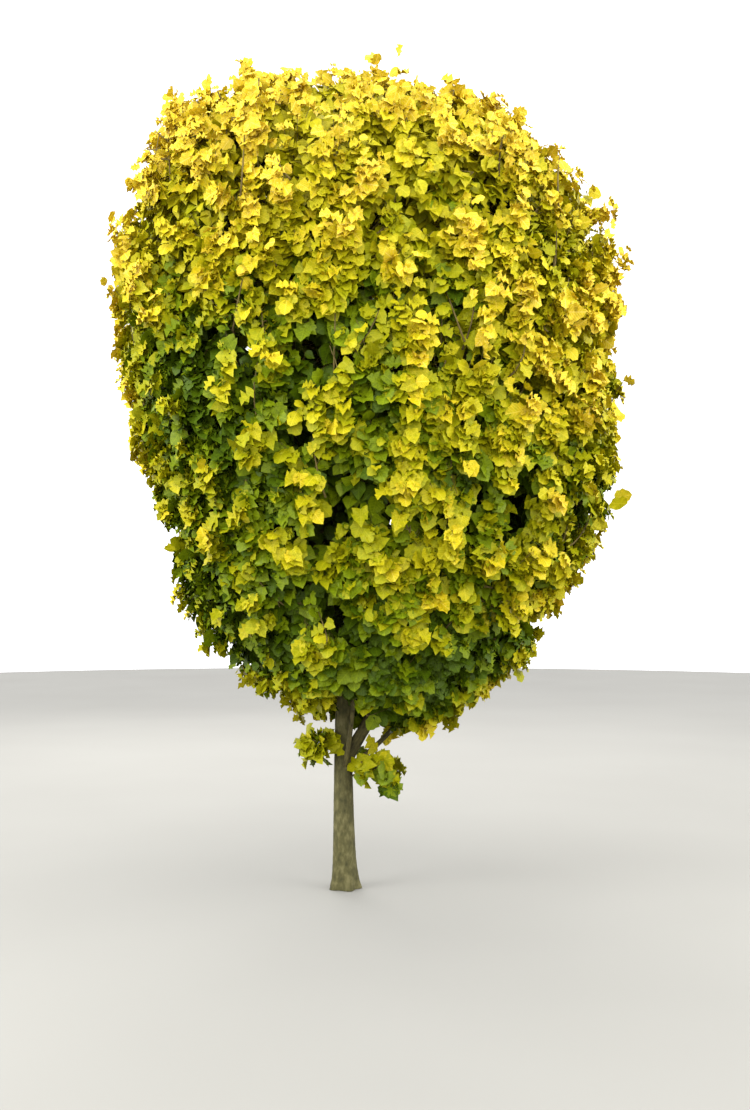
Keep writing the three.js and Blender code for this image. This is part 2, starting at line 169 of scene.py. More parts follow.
def make_bark(name, dark, middle, light):
    finish, surface, add = new_finish(name)
    place = add("UVMap", uv_map="bark")
    stretched = add("Mapping", _0=place, Scale=(1 / STREAK_WIDTH, 1 / STREAK_LENGTH, 1))
    streaks = add("TexNoise", _0=stretched, Scale=1.0, Detail=4.0, Roughness=0.6)
    spot = add("TexCoord").outputs["Object"]
    blotches = add("TexNoise", _0=spot, Scale=1 / BLOTCH_WIDTH, Detail=2.0)
    blend = add("Math", operation="MULTIPLY_ADD", _0=blotches, _1=BLOTCH_SHARE, _2=0.0)
    total = add("Math", operation="MULTIPLY_ADD", _0=streaks, _1=STREAK_SHARE, _2=blend)
    ramp = add("ValToRGB", ((0.4, dark), (0.72, light), (0.55, middle)), Fac=total)
    relief = add("Bump", Height=streaks, Strength=0.35, Distance=1.5 * MM)
    fill_in(surface, Base_Color=ramp, Normal=relief, Roughness=0.88, IOR=1.4)
    return finish


# Trunk bark: dull, olive-grey and softly streaked, as if a little mossy.
trunk_bark = make_bark("olive_grey_bark", "#3c3a20", "#524e2c", "#6c6642")
# Bark of the boughs: darker and browner, partly painted shade of the crown around them, so that they draw
# back into it.
bough_bark = make_bark("brown_bough_bark", "#2e2a15", "#4c4626", "#686036")
# Bark of young growth: smooth, lighter and red-brown, a warm line between leaves.
twig_bark = make_bark("red_brown_twig_bark", "#40361c", "#64562c", "#82723c")
print("bark finishes", [finish.name for finish in (trunk_bark, bough_bark, twig_bark)])

# %% [markdown]
# ## Leaves
# The leaves of this elm are golden yellow where the sun reaches them, lime in half shade and mid green
# deep inside. This is partly their own colour, as a golden elm's leaves grow greener in shade, and partly
# painted light: the darker finishes are painted shade, the brightest painted sunlight. One leaf is not one
# flat colour: its veins are paler and it is mottled. Six finishes, from shade to sun, share one recipe. The
# veins are drawn on the leaf's own map, which runs along and across each leaf. Small waves of light and
# dark come from noise the size of the puckers between two veins: partly the leaf's own mottle, partly
# painted shade where the puckers dip.

# %% Leaf finishes
PUCKER = 15 * MM
SIDE_VEINS, VEIN_SLANT = 7, -0.75
# Each tint has its name and its shade, body and vein colours. From deep shade to sunlit the tints are partly
# the golden elm's own colours, greener where it grows in shade, and partly painted light: the dark greens
# are painted shade, the golden and sunlit ones painted sunlight.
LEAF_TINTS = [
    ("deep_shade_leaf", "#3a4c02", "#465c03", "#5a6e0a"),
    ("green_leaf", "#5c6c03", "#708005", "#84920e"),
    ("lime_leaf", "#888c03", "#9e9a05", "#b2ac1c"),
    ("lime_gold_leaf", "#9c9804", "#b6aa0a", "#ccbe30"),
    ("golden_leaf", "#aea406", "#ccb414", "#e2ca4c"),
    ("sunlit_leaf", "#c4ae0e", "#dec02a", "#f2da76"),
]


# A thin waxy skin over soft tissue: a broad faint sheen that never hides the leaf's own colour.
def make_leaf_finish(name, shade, body, bright):
    finish, surface, add = new_finish(name)
    along = add("SeparateXYZ", Vector=add("UVMap", uv_map="leaf"))
    spot = add("TexCoord").outputs["Object"]
    mottle = add("TexNoise", _0=spot, Scale=1 / PUCKER, Detail=3.0, Roughness=0.6)
    off_middle = add("Math", operation="SUBTRACT", _0=along.outputs[1], _1=0.5)
    aside = add("Math", operation="ABSOLUTE", _0=off_middle)
    slant = add("Math", operation="MULTIPLY_ADD", _0=aside, _1=VEIN_SLANT, _2=along)
    turn = add("Math", operation="MULTIPLY", _0=slant, _1=SIDE_VEINS * 2 * math.pi)
    wave = add("Math", operation="COSINE", _0=turn)
    side_veins = add("MapRange", Value=wave, From_Min=0.72, From_Max=1.0, To_Min=0.0, To_Max=0.5)
    midrib = add("MapRange", Value=aside, From_Min=0.0, From_Max=0.035, To_Min=0.7, To_Max=0.0)
    veins = add("Math", operation="MAXIMUM", _0=side_veins, _1=midrib)
    # The ramp runs from the shade colour where the puckers dip to the body colour where they rise: partly
    # the leaf's own mottle, partly painted shade in the creases.
    ramp = add("ValToRGB", ((0.34, shade), (0.64, body)), Fac=mottle)
    drawn = add("Mix", data_type="RGBA", Factor=veins, _6=ramp, _7=linear(bright))
    pucker = add("Bump", Height=mottle, Strength=0.3, Distance=2 * MM)
    fill_in(surface, Base_Color=drawn.outputs[2], Normal=pucker)
    fill_in(surface, Roughness=0.5, IOR=1.36, Specular_IOR_Level=0.25)
    return finish


leaf_finishes = [make_leaf_finish(*tint) for tint in LEAF_TINTS]
print("leaf finishes", len(leaf_finishes))

# %% [markdown]
# ## The rule of the tree
# The solids were grown by a rule, and the fine growth has to fill the same spaces, so the rule is written
# here again with the same numbers, in millimetres. A crown outline, a bowed trunk and repeatable numbers
# come first. Most functions take many directions at once, as rows of an array, because some twelve
# thousand shoots are placed with them later.

# %% Crown outline, trunk line and repeatable numbers
CROWN_FOOT, CROWN_WAIST, CROWN_TOP, CROWN_RADIUS = 650, 2600, 3480, 1090
SHOULDER_POWER, SKIRT_POWER, SKIRT_ROUNDING = 2.6, 2.4, 0.58
CROWN_OFFSET, CROWN_OFFSET_HEIGHT, CROWN_SWEEP = 160, 1000, 3.5e-5
TRUNK_TIP, TRUNK_FOOT_RADIUS, TRUNK_FORK_RADIUS, FORK_HEIGHT = 2790, 50, 34, 737
LEADER_RADIUS, LEADER_START, LEADER_TIP_RADIUS = 24, 1000, 9
FLARE, FLARE_HEIGHT, BUTTRESSES, BUTTRESS_DEPTH = 16, 70, 5, 0.13
BOW, BOW_HEIGHT, LEAN, LEAN_START, LEAN_HEIGHT = 8, 1500, 90, 700, 700
UPPER_SLOPE, SWAY, SWAY_LENGTH = 0.0133, 18, 480
SEED_STEP, SEED_START, MULTIPLIER, MODULUS = 7919, 104729, 16807, 2147483647
UP = np.array([0.0, 0.0, 1.0])
ACROSS = np.array([1.0, 0.0, 0.0])
GOLDEN_ANGLE = math.pi * (3 - math.sqrt(5))


def seeded_stream(seed):
    state = seed * SEED_STEP + SEED_START

    def next_number():
        nonlocal state
        state = state * MULTIPLIER % MODULUS
        return state / MODULUS

    return next_number


def smooth(t):
    held = np.clip(t, 0, 1)
    return held * held * (3 - 2 * held)


def crown_axis(z):
    return CROWN_OFFSET - CROWN_SWEEP * (z - CROWN_OFFSET_HEIGHT) ** 2


def crown_radius(z):
    rise = np.clip((z - CROWN_WAIST) / (CROWN_TOP - CROWN_WAIST), 0, 1)
    drop = np.clip((CROWN_WAIST - z) / (CROWN_WAIST - CROWN_FOOT), 0, 1)
    above = (1 - rise ** SHOULDER_POWER) ** (1 / SHOULDER_POWER)
    below = (1 - drop ** SKIRT_POWER) ** SKIRT_ROUNDING
    return CROWN_RADIUS * np.where(z >= CROWN_WAIST, above, below)


def trunk_axis(z):
    bow = -BOW * np.sin(math.pi * np.minimum(z, BOW_HEIGHT) / BOW_HEIGHT)
    lean = LEAN * smooth((z - LEAN_START) / LEAN_HEIGHT)
    upper = UPPER_SLOPE * np.maximum(z - LEAN_START - LEAN_HEIGHT, 0)
    sway = SWAY * np.sin(z / SWAY_LENGTH) * smooth(z / SWAY_LENGTH)
    return np.stack([bow + lean + upper, sway, z * 1.0], -1)


def trunk_radius(z):
    lost = (TRUNK_FORK_RADIUS - TRUNK_FOOT_RADIUS) * np.minimum(z, FORK_HEIGHT) / FORK_HEIGHT
    above_fork = (z - FORK_HEIGHT) / (LEADER_START - FORK_HEIGHT)
    narrowing = (LEADER_RADIUS - TRUNK_FORK_RADIUS) * smooth(above_fork)
    past = np.maximum(z - LEADER_START, 0) / (TRUNK_TIP - LEADER_START)
    stem = TRUNK_FOOT_RADIUS + lost + narrowing + (LEADER_TIP_RADIUS - LEADER_RADIUS) * past
    return stem + FLARE * np.exp(-z / FLARE_HEIGHT)


print("crown is widest at", CROWN_WAIST, "mm, trunk foot", round(float(trunk_radius(0)), 1), "mm")

# %% [markdown]
# ## Foliage masses and their spaces
# A crown like this is built of boughs that each carry one dense mass. The masses stand in tiers round the
# trunk. Flat walls part each one's space from its neighbours', and the crown's outline closes it outside.
# How far one can go in a direction before leaving the space is found by halving, sixteen times.

# %% Place the masses
# Each tier has its count, height, stagger, share of the crown's radius, turn, size, take-off and rise.
TIERS = [
    ("top", 1, 3090, 0, 0, 0, 450, 0, 0),
    ("shoulder", 5, 2960, 35, 0.6, 14, 480, 0, 0),
    ("upper", 7, 2460, 60, 0.69, 0, 480, 1600, 300),
    ("middle", 7, 1930, 60, 0.68, 26, 480, 1200, 300),
    ("lower", 5, 1420, 50, 0.62, 0, 470, 780, 250),
    ("skirt", 3, 990, 30, 0.52, 12, 400, 500, 300),
]
HEIGHT_VARIATION, TOP_LIFT, LIFT_START, SPRAY_LIFT = 40, 1900, 1300, 0.3
OUTWARD_LOSS, UPWARD_LEAST, UPWARD_GAIN = 0.75, 0.35, 0.65
# Each low spray has its centre, its size and the point in the trunk that it grows from.
LOW_SPRAYS = [
    ("low_spray_left", (-98, -14, 622), 84, (-6, 0, 590)),
    ("low_spray_right", (140, -20, 512), 112, (0, 0, 470)),
]
masses = []


def lengths(vectors):
    return np.linalg.norm(vectors, axis=-1)


def unit(vectors):
    return vectors / lengths(vectors)[..., None]


def heading_of(outward, lift):
    return unit(outward * (1 - OUTWARD_LOSS * lift) + UP * (UPWARD_LEAST + UPWARD_GAIN * lift))


for name, count, level, stagger, share, turn, size, take_off, rise in TIERS:
    for place in range(count):
        random = seeded_stream(len(masses) + 1)
        shift = stagger * (1 if place % 2 else -1)
        height = level + (shift + HEIGHT_VARIATION * (random() - 0.5) if count > 1 else 0)
        azimuth = turn + 360 * place / count
        outward = np.array([math.cos(math.radians(azimuth)), math.sin(math.radians(azimuth)), 0])
        centre = np.array([crown_axis(height), 0, height]) + outward * share * crown_radius(height)
        lift = float(smooth((centre[2] - LIFT_START) / TOP_LIFT))
        masses.append(SimpleNamespace(
            name=f"{name}_{place + 1}" if count > 1 else name, tier=name, place=place, azimuth=azimuth,
            centre=centre, size=size, heading=heading_of(outward, lift), in_crown=True,
            take_off=take_off and take_off + rise * (place * 3 % count) / count,
        ))
for name, at, size, root in LOW_SPRAYS:
    centre, entry = np.array(at, float), np.array(root, float)
    heading = heading_of(unit((centre - entry) * (1, 1, 0)), SPRAY_LIFT)
    masses.append(SimpleNamespace(
        name=name, tier="spray", entry=entry, centre=centre, size=size, heading=heading, in_crown=False,
        take_off=0,
    ))
print("masses", len(masses))

# %% Walls and reach
SPACE_GAP = 4
HALVINGS = 16


def part_space(mass):
    others = [other for other in masses if other is not mass]
    apart = np.array([other.centre - mass.centre for other in others])
    length = lengths(apart)
    sizes = np.array([other.size for other in others], float)
    mass.normals = unit(apart)
    middle = (length ** 2 + mass.size ** 2 - sizes ** 2) / (2 * length)
    mass.limits = mass.normals @ mass.centre + middle - SPACE_GAP / 2


def in_space(mass, points):
    inside = lengths(points - mass.centre) <= mass.size
    if mass.in_crown:
        z = points[..., 2]
        across = np.hypot(points[..., 0] - crown_axis(z), points[..., 1])
        inside = inside & (z < CROWN_TOP) & (z > CROWN_FOOT) & (across <= crown_radius(z))
    return inside & (points @ mass.normals.T <= mass.limits).all(-1)


def furthest(is_inside, directions, limit, halvings):
    near = np.zeros(directions.shape[:-1])
    far = np.full(directions.shape[:-1], float(limit))
    for halving in range(halvings):
        middle = (near + far) / 2
        inside = is_inside(directions * middle[..., None])
        near = np.where(inside, middle, near)
        far = np.where(inside, far, middle)
    return near


def reach_of(mass, directions):
    return furthest(lambda run: in_space(mass, mass.centre + run), directions, mass.size, HALVINGS)


for mass in masses:
    part_space(mass)
print("top mass reaches up", round(float(reach_of(masses[0], UP)), 1), "mm")

# %% [markdown]
# ## The skin of the crown
# From outside one sees only the skin of a crown, so the fine growth is planned from the skin inward. It
# follows the outline of the solids, with lobes and spurs where this tree bulges or draws in, and with a
# ripple of three waves: no hedge was cut here, so tufts stand out and hollows lie between them. How deep a
# point lies below the skin is the gap between point and outline, made smaller where the outline slopes. The
# skin's own direction comes from comparing that depth a few millimetres to each side.

# %% Lobes and ripple
RIPPLE, INSET = 24.0, 27.0
# Lengths of the waves along x, y and z in millimetres over two pi, and their phases. The first has no z.
WAVE_1, WAVE_2, WAVE_3 = (41, 55, 1.3), (52, 38, 74, 0.4), (63, 80, 60, 2.1)
TOP_TRIM, TRIM_RISE = 80.0, 600
# Each lobe has its bearing and height, its half width in degrees, its half height and how far it pushes.
LOBES = [
    (-168, 1170, 50, 230, 80), (-12, 1700, 45, 150, 20), (-12, 3420, 75, 170, -95),
    (180, 2700, 50, 300, -15), (-168, 2990, 40, 150, -85), (-168, 3330, 35, 90, 150),
    (-168, 3040, 7, 45, 15), (-168, 2680, 8, 60, -20), (-168, 2050, 10, 70, -50),
    (-168, 1500, 12, 60, -35), (-168, 1365, 10, 45, 60), (-168, 1090, 14, 50, 60),
    (-168, 965, 14, 45, 150), (-155, 840, 45, 55, -250), (-12, 2700, 10, 60, 100),
    (-12, 2920, 12, 70, 85), (-12, 3180, 14, 60, -50), (-12, 3050, 10, 45, -45),
    (-12, 2285, 12, 55, -90), (-12, 2130, 8, 50, 20), (-12, 1700, 8, 60, 45), (-12, 1610, 10, 40, 75),
    (-12, 1220, 22, 60, -210), (-12, 1060, 10, 50, 35), (-12, 855, 24, 60, -165),
    (-90, 700, 30, 90, -60), (90, 2500, 60, 500, -18), (-90, 2500, 45, 400, -10),
    (-12, 2010, 10, 50, -40), (-12, 1365, 10, 40, -40), (-168, 1755, 10, 50, -40),
]
# Each bump of the top has its place in plan, its radius and how far it lifts.
TOP_BUMPS = [
    (-430, -150, 60, -110), (190, -150, 90, -85), (450, -140, 130, -150), (-620, -100, 80, 60),
    (-790, -100, 70, 60), (660, -100, 90, -100), (-100, -160, 70, -110), (900, -80, 90, -70),
]


def turned_from(azimuth, facing):
    return (azimuth - facing + 540) % 360 - 180


def sum_of_lobes(azimuth, height, lobes):
    total = np.zeros(azimuth.shape)
    for facing, level, turn, rise, amount in lobes:
        aside = turned_from(azimuth, facing)
        total = total + amount * np.exp(-(aside / turn) ** 2 - ((height - level) / rise) ** 2)
    return total


def lobe_push(points):
    azimuth = np.degrees(np.arctan2(points[..., 1], points[..., 0] - crown_axis(points[..., 2])))
    return sum_of_lobes(azimuth, points[..., 2], LOBES)


def top_push(points):
    push = np.full(points.shape[:-1], -TOP_TRIM)
    for x, y, radius, amount in TOP_BUMPS:
        square = (points[..., 0] - x) ** 2 + (points[..., 1] - y) ** 2
        push = push + amount * np.exp(-square / radius ** 2)
    return push * smooth((points[..., 2] - CROWN_WAIST) / TRIM_RISE)


def ripple(points):
    x, y, z = points[..., 0], points[..., 1], points[..., 2]
    first = np.sin(x / WAVE_1[0] + y / WAVE_1[1] + WAVE_1[2])
    second = np.sin(y / WAVE_2[1] - x / WAVE_2[0] + z / WAVE_2[2] + WAVE_2[3])
    third = np.sin(z / WAVE_3[2] + x / WAVE_3[0] - y / WAVE_3[1] + WAVE_3[3])
    return RIPPLE * (first + second + third) - INSET


print("lobes", len(LOBES), "bumps on top", len(TOP_BUMPS))

# %% Depth below the skin
SKIN_CENTRE = np.array([110.0, 0.0, 2150.0])
SKIN_POINTS, FARTHEST, SKIN_HALVINGS = 6500, 2200, 14
LEAF_ROOM = 30.0
RIM, SLOPE_STEP, NORMAL_STEP = 12, 10, 8


def skin_depth(points, rippled=True):
    z = points[..., 2] - top_push(points)
    held = np.clip(z, CROWN_FOOT + RIM, CROWN_TOP - RIM)
    across = np.hypot(points[..., 0] - crown_axis(points[..., 2]), points[..., 1])
    slope = (crown_radius(held + SLOPE_STEP) - crown_radius(held - SLOPE_STEP)) / (2 * SLOPE_STEP)
    beside = (crown_radius(held) + lobe_push(points) - across) / np.sqrt(1 + slope ** 2)
    depth = np.minimum(beside, np.minimum(CROWN_TOP - z, z - CROWN_FOOT))
    return depth + ripple(points) if rippled else depth


def skin_normal(points):
    gaps = [skin_depth(points + step) - skin_depth(points - step) for step in np.eye(3) * NORMAL_STEP]
    return unit(-np.stack(gaps, -1))


def brought_to(points, depth):
    for pass_number in range(2):
        points = points + skin_normal(points) * (skin_depth(points) - depth)[..., None]
    return points


index = np.arange(SKIN_POINTS)
rise = 1 - (index + 0.5) / SKIN_POINTS * 2
flat = np.sqrt(1 - rise ** 2)
turn = index * GOLDEN_ANGLE
rays = np.stack([flat * np.cos(turn), flat * np.sin(turn), rise], -1)
skin_reach = furthest(lambda run: skin_depth(SKIN_CENTRE + run) > LEAF_ROOM, rays, FARTHEST, SKIN_HALVINGS)
skin_points = SKIN_CENTRE + rays * skin_reach[:, None]
print("skin reaches from", np.round(skin_points.min(0)), "to", np.round(skin_points.max(0)), "mm")

# %% [markdown]
# ## Leaning and spreading
# Twigs fan out round the way a mass grows. Turning each by the golden angle spreads them evenly without
# rows, as real buds do round a stem. Of four leaning options the one with the most room is taken.

# %% Directions
SPREAD = 1.25
STEEP = 0.9


def square_to(direction):
    helper = np.where(np.abs(direction[..., 2:]) > STEEP, ACROSS, UP)
    side = unit(np.cross(direction, helper))
    return side, np.cross(direction, side)


def leaned_from(direction, angle, bearing):
    side, other = square_to(direction)
    angle = np.asarray(angle)[..., None]
    bearing = np.asarray(bearing)[..., None]
    sideways = side * np.cos(bearing) + other * np.sin(bearing)
    return direction * np.cos(angle) + sideways * np.sin(angle)


def spread_direction(heading, index, count, phase):
    return leaned_from(heading, np.arccos(1 - (index + 0.5) / count * SPREAD), index * GOLDEN_ANGLE + phase)


def roomiest(mass, direction, lean, phase):
    phases = [phase + quarter * math.pi / 2 for quarter in range(4)]
    options = np.array([leaned_from(direction, lean, turn) for turn in phases])
    return options[int(np.argmax(reach_of(mass, options)))]


print("first twig of the top mass leans", np.round(spread_direction(masses[0].heading, 0, 4, 0), 2))

# %% [markdown]
# ## Where the boughs run
# A bough ends just outside the core of its mass. The core is a twenty-faced shape shrunk from the mass's
# space, and a line from the centre is cut with its faces to find that end. Each limb then has one bend
# between its root and its tip, out first and then up, as boughs rise that grow towards light.

# %% Curves and cores
CORE_SHARE = 0.68
GOLDEN_RATIO = (1 + math.sqrt(5)) / 2
FOUR_CORNERS = [(-1, GOLDEN_RATIO, 0), (1, GOLDEN_RATIO, 0), (-1, -GOLDEN_RATIO, 0), (1, -GOLDEN_RATIO, 0)]
CORE_CORNERS = unit(np.array([np.roll(corner, turn) for turn in range(3) for corner in FOUR_CORNERS]))
CORE_FACES = [
    (0, 11, 5), (0, 5, 1), (0, 1, 7), (0, 7, 10), (0, 10, 11), (1, 5, 9), (5, 11, 4), (11, 10, 2),
    (10, 7, 6), (7, 1, 8), (3, 9, 4), (3, 4, 2), (3, 2, 6), (3, 6, 8), (3, 8, 9), (4, 9, 5), (2, 4, 11),
    (6, 2, 10), (8, 6, 7), (9, 8, 1),
]


def on_curve(t, root, bend, tip):
    return (1 - t) ** 2 * root + 2 * (1 - t) * t * bend + t ** 2 * tip


def along_curve(t, root, bend, tip):
    return unit((1 - t) * (bend - root) + t * (tip - bend))


def point_on(route, t):
    return on_curve(np.asarray(t)[..., None], route.root, route.bend, route.tip)


def core_reach(mass, direction):
    reach = CORE_SHARE * reach_of(mass, CORE_CORNERS)
    core = [Vector(corner) for corner in mass.centre + CORE_CORNERS * reach[:, None]]
    centre = Vector(mass.centre)
    for face in CORE_FACES:
        found = geometry.intersect_ray_tri(*[core[i] for i in face], Vector(direction), centre, True)
        if found and (found - centre).dot(Vector(direction)) > 0:
            return (found - centre).length
    return 0.0


print("core of the top mass reaches down", round(core_reach(masses[0], -UP), 1), "mm")

# %% Bough routes
CORE_GAP = 18
MAIN_TAKE_OFFS = [545, 1080, 940, 1180, 1320]
MAIN_RADII = [28, 18, 20, 18, 17]
MAIN_BEND, LOWEST_BEND, SECOND_BEND = (0.45, 0.45), (0.62, 0.2), (0.6, 0.36)
SECOND_RADIUS, BOUGH_TIP_RADIUS = 12, 9
CARRIER_RISE, CARRIER_TURN = 120, 60
main_routes = []
second_routes = []


def bough_route(mass, start, root_radius, bend_shares):
    out, up = bend_shares
    direction = unit(start - mass.centre)
    entry = mass.centre + direction * (core_reach(mass, direction) + CORE_GAP)
    mass.entry = entry
    bend = start + (entry - start) * np.array([out, out, up])
    radii = (root_radius, BOUGH_TIP_RADIUS)
    return SimpleNamespace(root=start, bend=bend, tip=entry, radii=radii, azimuth=mass.azimuth)


def point_at_height(route, height):
    points = point_on(route, np.arange(100) / 100)
    above = np.nonzero(points[:, 2] >= height)[0]
    return points[above[0]] if len(above) else route.tip


def carrier_of(mass):
    standing = [route for route in main_routes if route.root[2] < mass.take_off - CARRIER_RISE]
    turns = [abs(turned_from(route.azimuth, mass.azimuth)) for route in standing]
    if turns and min(turns) < CARRIER_TURN:
        return point_at_height(standing[turns.index(min(turns))], mass.take_off)
    return trunk_axis(mass.take_off)


masses[0].entry = trunk_axis(TRUNK_TIP)
for mass in masses:
    if mass.tier == "shoulder":
        start = trunk_axis(MAIN_TAKE_OFFS[mass.place])
        bend_shares = LOWEST_BEND if mass.place == 0 else MAIN_BEND
        main_routes.append(bough_route(mass, start, MAIN_RADII[mass.place], bend_shares))
for mass in masses:
    if mass.take_off:
        high = mass.tier in ("upper", "middle")
        start = carrier_of(mass) if high else trunk_axis(mass.take_off)
        second_routes.append(bough_route(mass, start, SECOND_RADIUS, SECOND_BEND))
print("main boughs", len(main_routes), "second boughs", len(second_routes))
ends_off = 0.0
for number, route in enumerate(main_routes, start=1):
    low, high = [np.array(corner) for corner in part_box(f"main_bough_{number}")]
    end = route.tip * MM
    ends_off = max(ends_off, float(np.abs(np.clip(end, low, high) - end).max()))
print("main bough ends stand within", round(ends_off / MM, 2), "mm of their solids")

# %% [markdown]
# ## The trunk in bark
# A limb could be a curve with a round bevel, but then it would have no bark. Here a flat grid is made, one
# column for each step round the limb and one row for each step along it. It is rolled up along the limb's
# line, and the two edges that meet are merged. The radius of each point carries the relief: shallow furrows
# that run lengthwise, as slices through noise that is stretched along the limb.

# %% Roll a grid up into a limb
FURROW_SPACING, FURROW_LENGTH = 7.0, 55.0
RIDGE, GROOVE, GRAIN, GRAIN_SCALE, SEED_SHIFT = 0.75, 1.5, 0.5, 2.7, 17.3
FULL_RELIEF_RADIUS, LEAST_RELIEF = 30, 0.3
MERGE_WITHIN = 0.01 * MM


def furrows(angle, radius, distance, seed, depth):
    turns = radius / FURROW_SPACING
    offsets = np.empty(angle.shape)
    for at, (a, k, s) in enumerate(zip(angle, turns, distance)):
        place = Vector((math.cos(a) * k + seed * SEED_SHIFT, math.sin(a) * k, s / FURROW_LENGTH))
        grain = GRAIN * noise.noise(place * GRAIN_SCALE)
        offsets[at] = RIDGE - GROOVE * abs(noise.noise(place)) + grain
    return offsets * depth


def edit(select, step=None, **settings):
    bpy.ops.object.mode_set(mode="EDIT")
    if select:
        bpy.ops.mesh.select_all(action=select)
    if step:
        step(**settings)
    bpy.ops.object.mode_set(mode="OBJECT")


def distances_along(line):
    return np.concatenate([[0], np.cumsum(lengths(np.diff(line, axis=0)))])


def roll_limb(name, sides, steps, line, radii, seed, depth, finish):
    bpy.ops.object.select_all(action="DESELECT")
    bpy.ops.mesh.primitive_grid_add(x_subdivisions=sides, y_subdivisions=steps, size=1)
    limb = bpy.context.object
    limb.name = name
    mesh = limb.data
    flat = np.empty(len(mesh.vertices) * 3, np.float32)
    mesh.vertices.foreach_get("co", flat)
    flat = flat.reshape(-1, 3)
    angle = (flat[:, 0] + 0.5) * 2 * math.pi
    row = np.rint((flat[:, 1] + 0.5) * steps).astype(int)
    distance = distances_along(line)[row]
    tangent = unit(np.gradient(line, axis=0))
    across = square_to(unit(line[-1] - line[0]))[0]
    if name == "trunk":
        tangent = np.tile(UP, (len(line), 1))
        across = ACROSS
    other = unit(np.cross(tangent, np.tile(across, (len(line), 1))))
    across = np.cross(other, tangent)
    around = across[row] * np.cos(angle)[:, None] + other[row] * np.sin(angle)[:, None]
    radius = radii(angle, row)
    relief = furrows(angle, radius, distance, seed, depth)
    radius = radius + relief * np.clip(radius / FULL_RELIEF_RADIUS, LEAST_RELIEF, 1)
    points = line[row] + around * radius[:, None]
    if name == "trunk":
        points[row == 0, 2] = 0
    mesh.vertices.foreach_set("co", (points * MM).astype(np.float32).ravel())
    mesh.uv_layers[0].name = "bark"
    loops = np.empty(len(mesh.loops), np.int32)
    mesh.loops.foreach_get("vertex_index", loops)
    girth = 2 * math.pi * float(np.median(radius)) * MM
    places = np.stack([(flat[:, 0] + 0.5) * girth + seed, distance * MM], 1)[loops]
    mesh.uv_layers[0].data.foreach_set("uv", places.astype(np.float32).ravel())
    edit("SELECT", bpy.ops.mesh.remove_doubles, threshold=MERGE_WITHIN)
    edit("SELECT", bpy.ops.mesh.fill_holes, sides=0)
    edit("SELECT", bpy.ops.mesh.normals_make_consistent, inside=False)
    bpy.ops.object.shade_smooth()
    mesh.materials.clear()
    mesh.materials.append(finish)
    return limb


print("furrows stand", FURROW_SPACING, "mm apart and run about", FURROW_LENGTH, "mm")

# %% Roll up the trunk
TRUNK_SIDES, TRUNK_STEPS, FINER_AT_FOOT = 64, 210, 1.35
TRUNK_RELIEF = 1.3
trunk_heights = TRUNK_TIP * (np.arange(TRUNK_STEPS + 1) / TRUNK_STEPS) ** FINER_AT_FOOT
trunk_line = trunk_axis(trunk_heights)


def trunk_radii(angle, row):
    z = trunk_heights[row]
    lobe = 1 + BUTTRESS_DEPTH * np.cos(BUTTRESSES * angle) * np.exp(-z / FLARE_HEIGHT)
    return trunk_radius(z) * lobe


trunk = roll_limb("trunk", TRUNK_SIDES, TRUNK_STEPS, trunk_line, trunk_radii, 1, TRUNK_RELIEF, trunk_bark)
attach(trunk, "root")
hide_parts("trunk")
print("trunk faces", len(trunk.data.polygons), "size", [round(v, 3) for v in trunk.dimensions])

# %% [markdown]
# ## Boughs
# A bough is rolled up in the same way, thinner towards its tip. Where it leaves its trunk it swells into a
# collar, where the wood of both grows together. The main boughs get more sides and rows than the second
# ones, as they are thicker and show more of their bark. Each kind is joined to one piece.

# %% Roll up the boughs
COLLAR, COLLAR_LENGTH = 0.4, 55.0
BOUGH_RELIEF = 0.9
main_nodes = [f"main_bough_{i + 1}" for i in range(5)]
second_nodes = [f"bough_{mass.name}" for mass in masses if mass.take_off]
# Each kind has its routes, its first seed, its sides, the steps along a bough and the nodes it stands for.
BOUGHS = [
    ("main_boughs", main_routes, 2, 22, 84, main_nodes),
    ("second_boughs", second_routes, 7, 12, 44, second_nodes),
]
wood_pieces = [trunk]


def grow_bough(route, seed, sides, steps):
    t = np.arange(steps + 1) / steps
    line = point_on(route, t)
    root_radius, tip_radius = route.radii
    collar = 1 + COLLAR * np.exp(-(distances_along(line) / COLLAR_LENGTH) ** 2)
    taper = (root_radius + (tip_radius - root_radius) * t) * collar
    return roll_limb(
        "bough", sides, steps, line, lambda angle, row: taper[row], seed, BOUGH_RELIEF, bough_bark
    )


for name, routes, first_seed, sides, steps, nodes in BOUGHS:
    parts = [grow_bough(route, first_seed + i, sides, steps) for i, route in enumerate(routes)]
    bpy.ops.object.select_all(action="DESELECT")
    for part in parts:
        part.select_set(True)
    bpy.context.view_layer.objects.active = parts[0]
    bpy.ops.object.join()
    piece = bpy.context.object
    piece.name = name
    piece.data.name = name
    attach(piece, "root")
    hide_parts(*nodes)
    wood_pieces.append(piece)
    print(name, len(piece.data.polygons), "faces from", len(parts), "boughs")

# %% [markdown]
# ## Stems and twigs
# In each mass the stem goes on from the bough's tip. The rule's own twigs come first, with the same numbers
# as in the solids, then the places where the solids have a leaf on the core, and then finer twigs, each put
# where the skin is barest so far. A twig that ends near the skin aims at a place on it.

# %% Stems and the rule's own twigs
STEM_SHARE, TWIGS, TWIG_SHARE, TWIG_LEAN, TWIG_SAG = 0.4, 4, 0.84, 0.3, 0.2
LEAVES_PER_TWIG, CORE_LEAVES, CORE_LEAF_LEAN = 3, 8, 0.5
SPRAY_OWN_TWIGS, SPRAY_TWIGS, SPRAY_TWIG_SHARE = 3, 4, 0.66
STEM_RADII = {True: (9, 6), False: (4, 2.7)}
TWIG_RADII = {True: (5.5, 2.6), False: (2.6, 1.5)}
NEAR_SKIN = 130.0
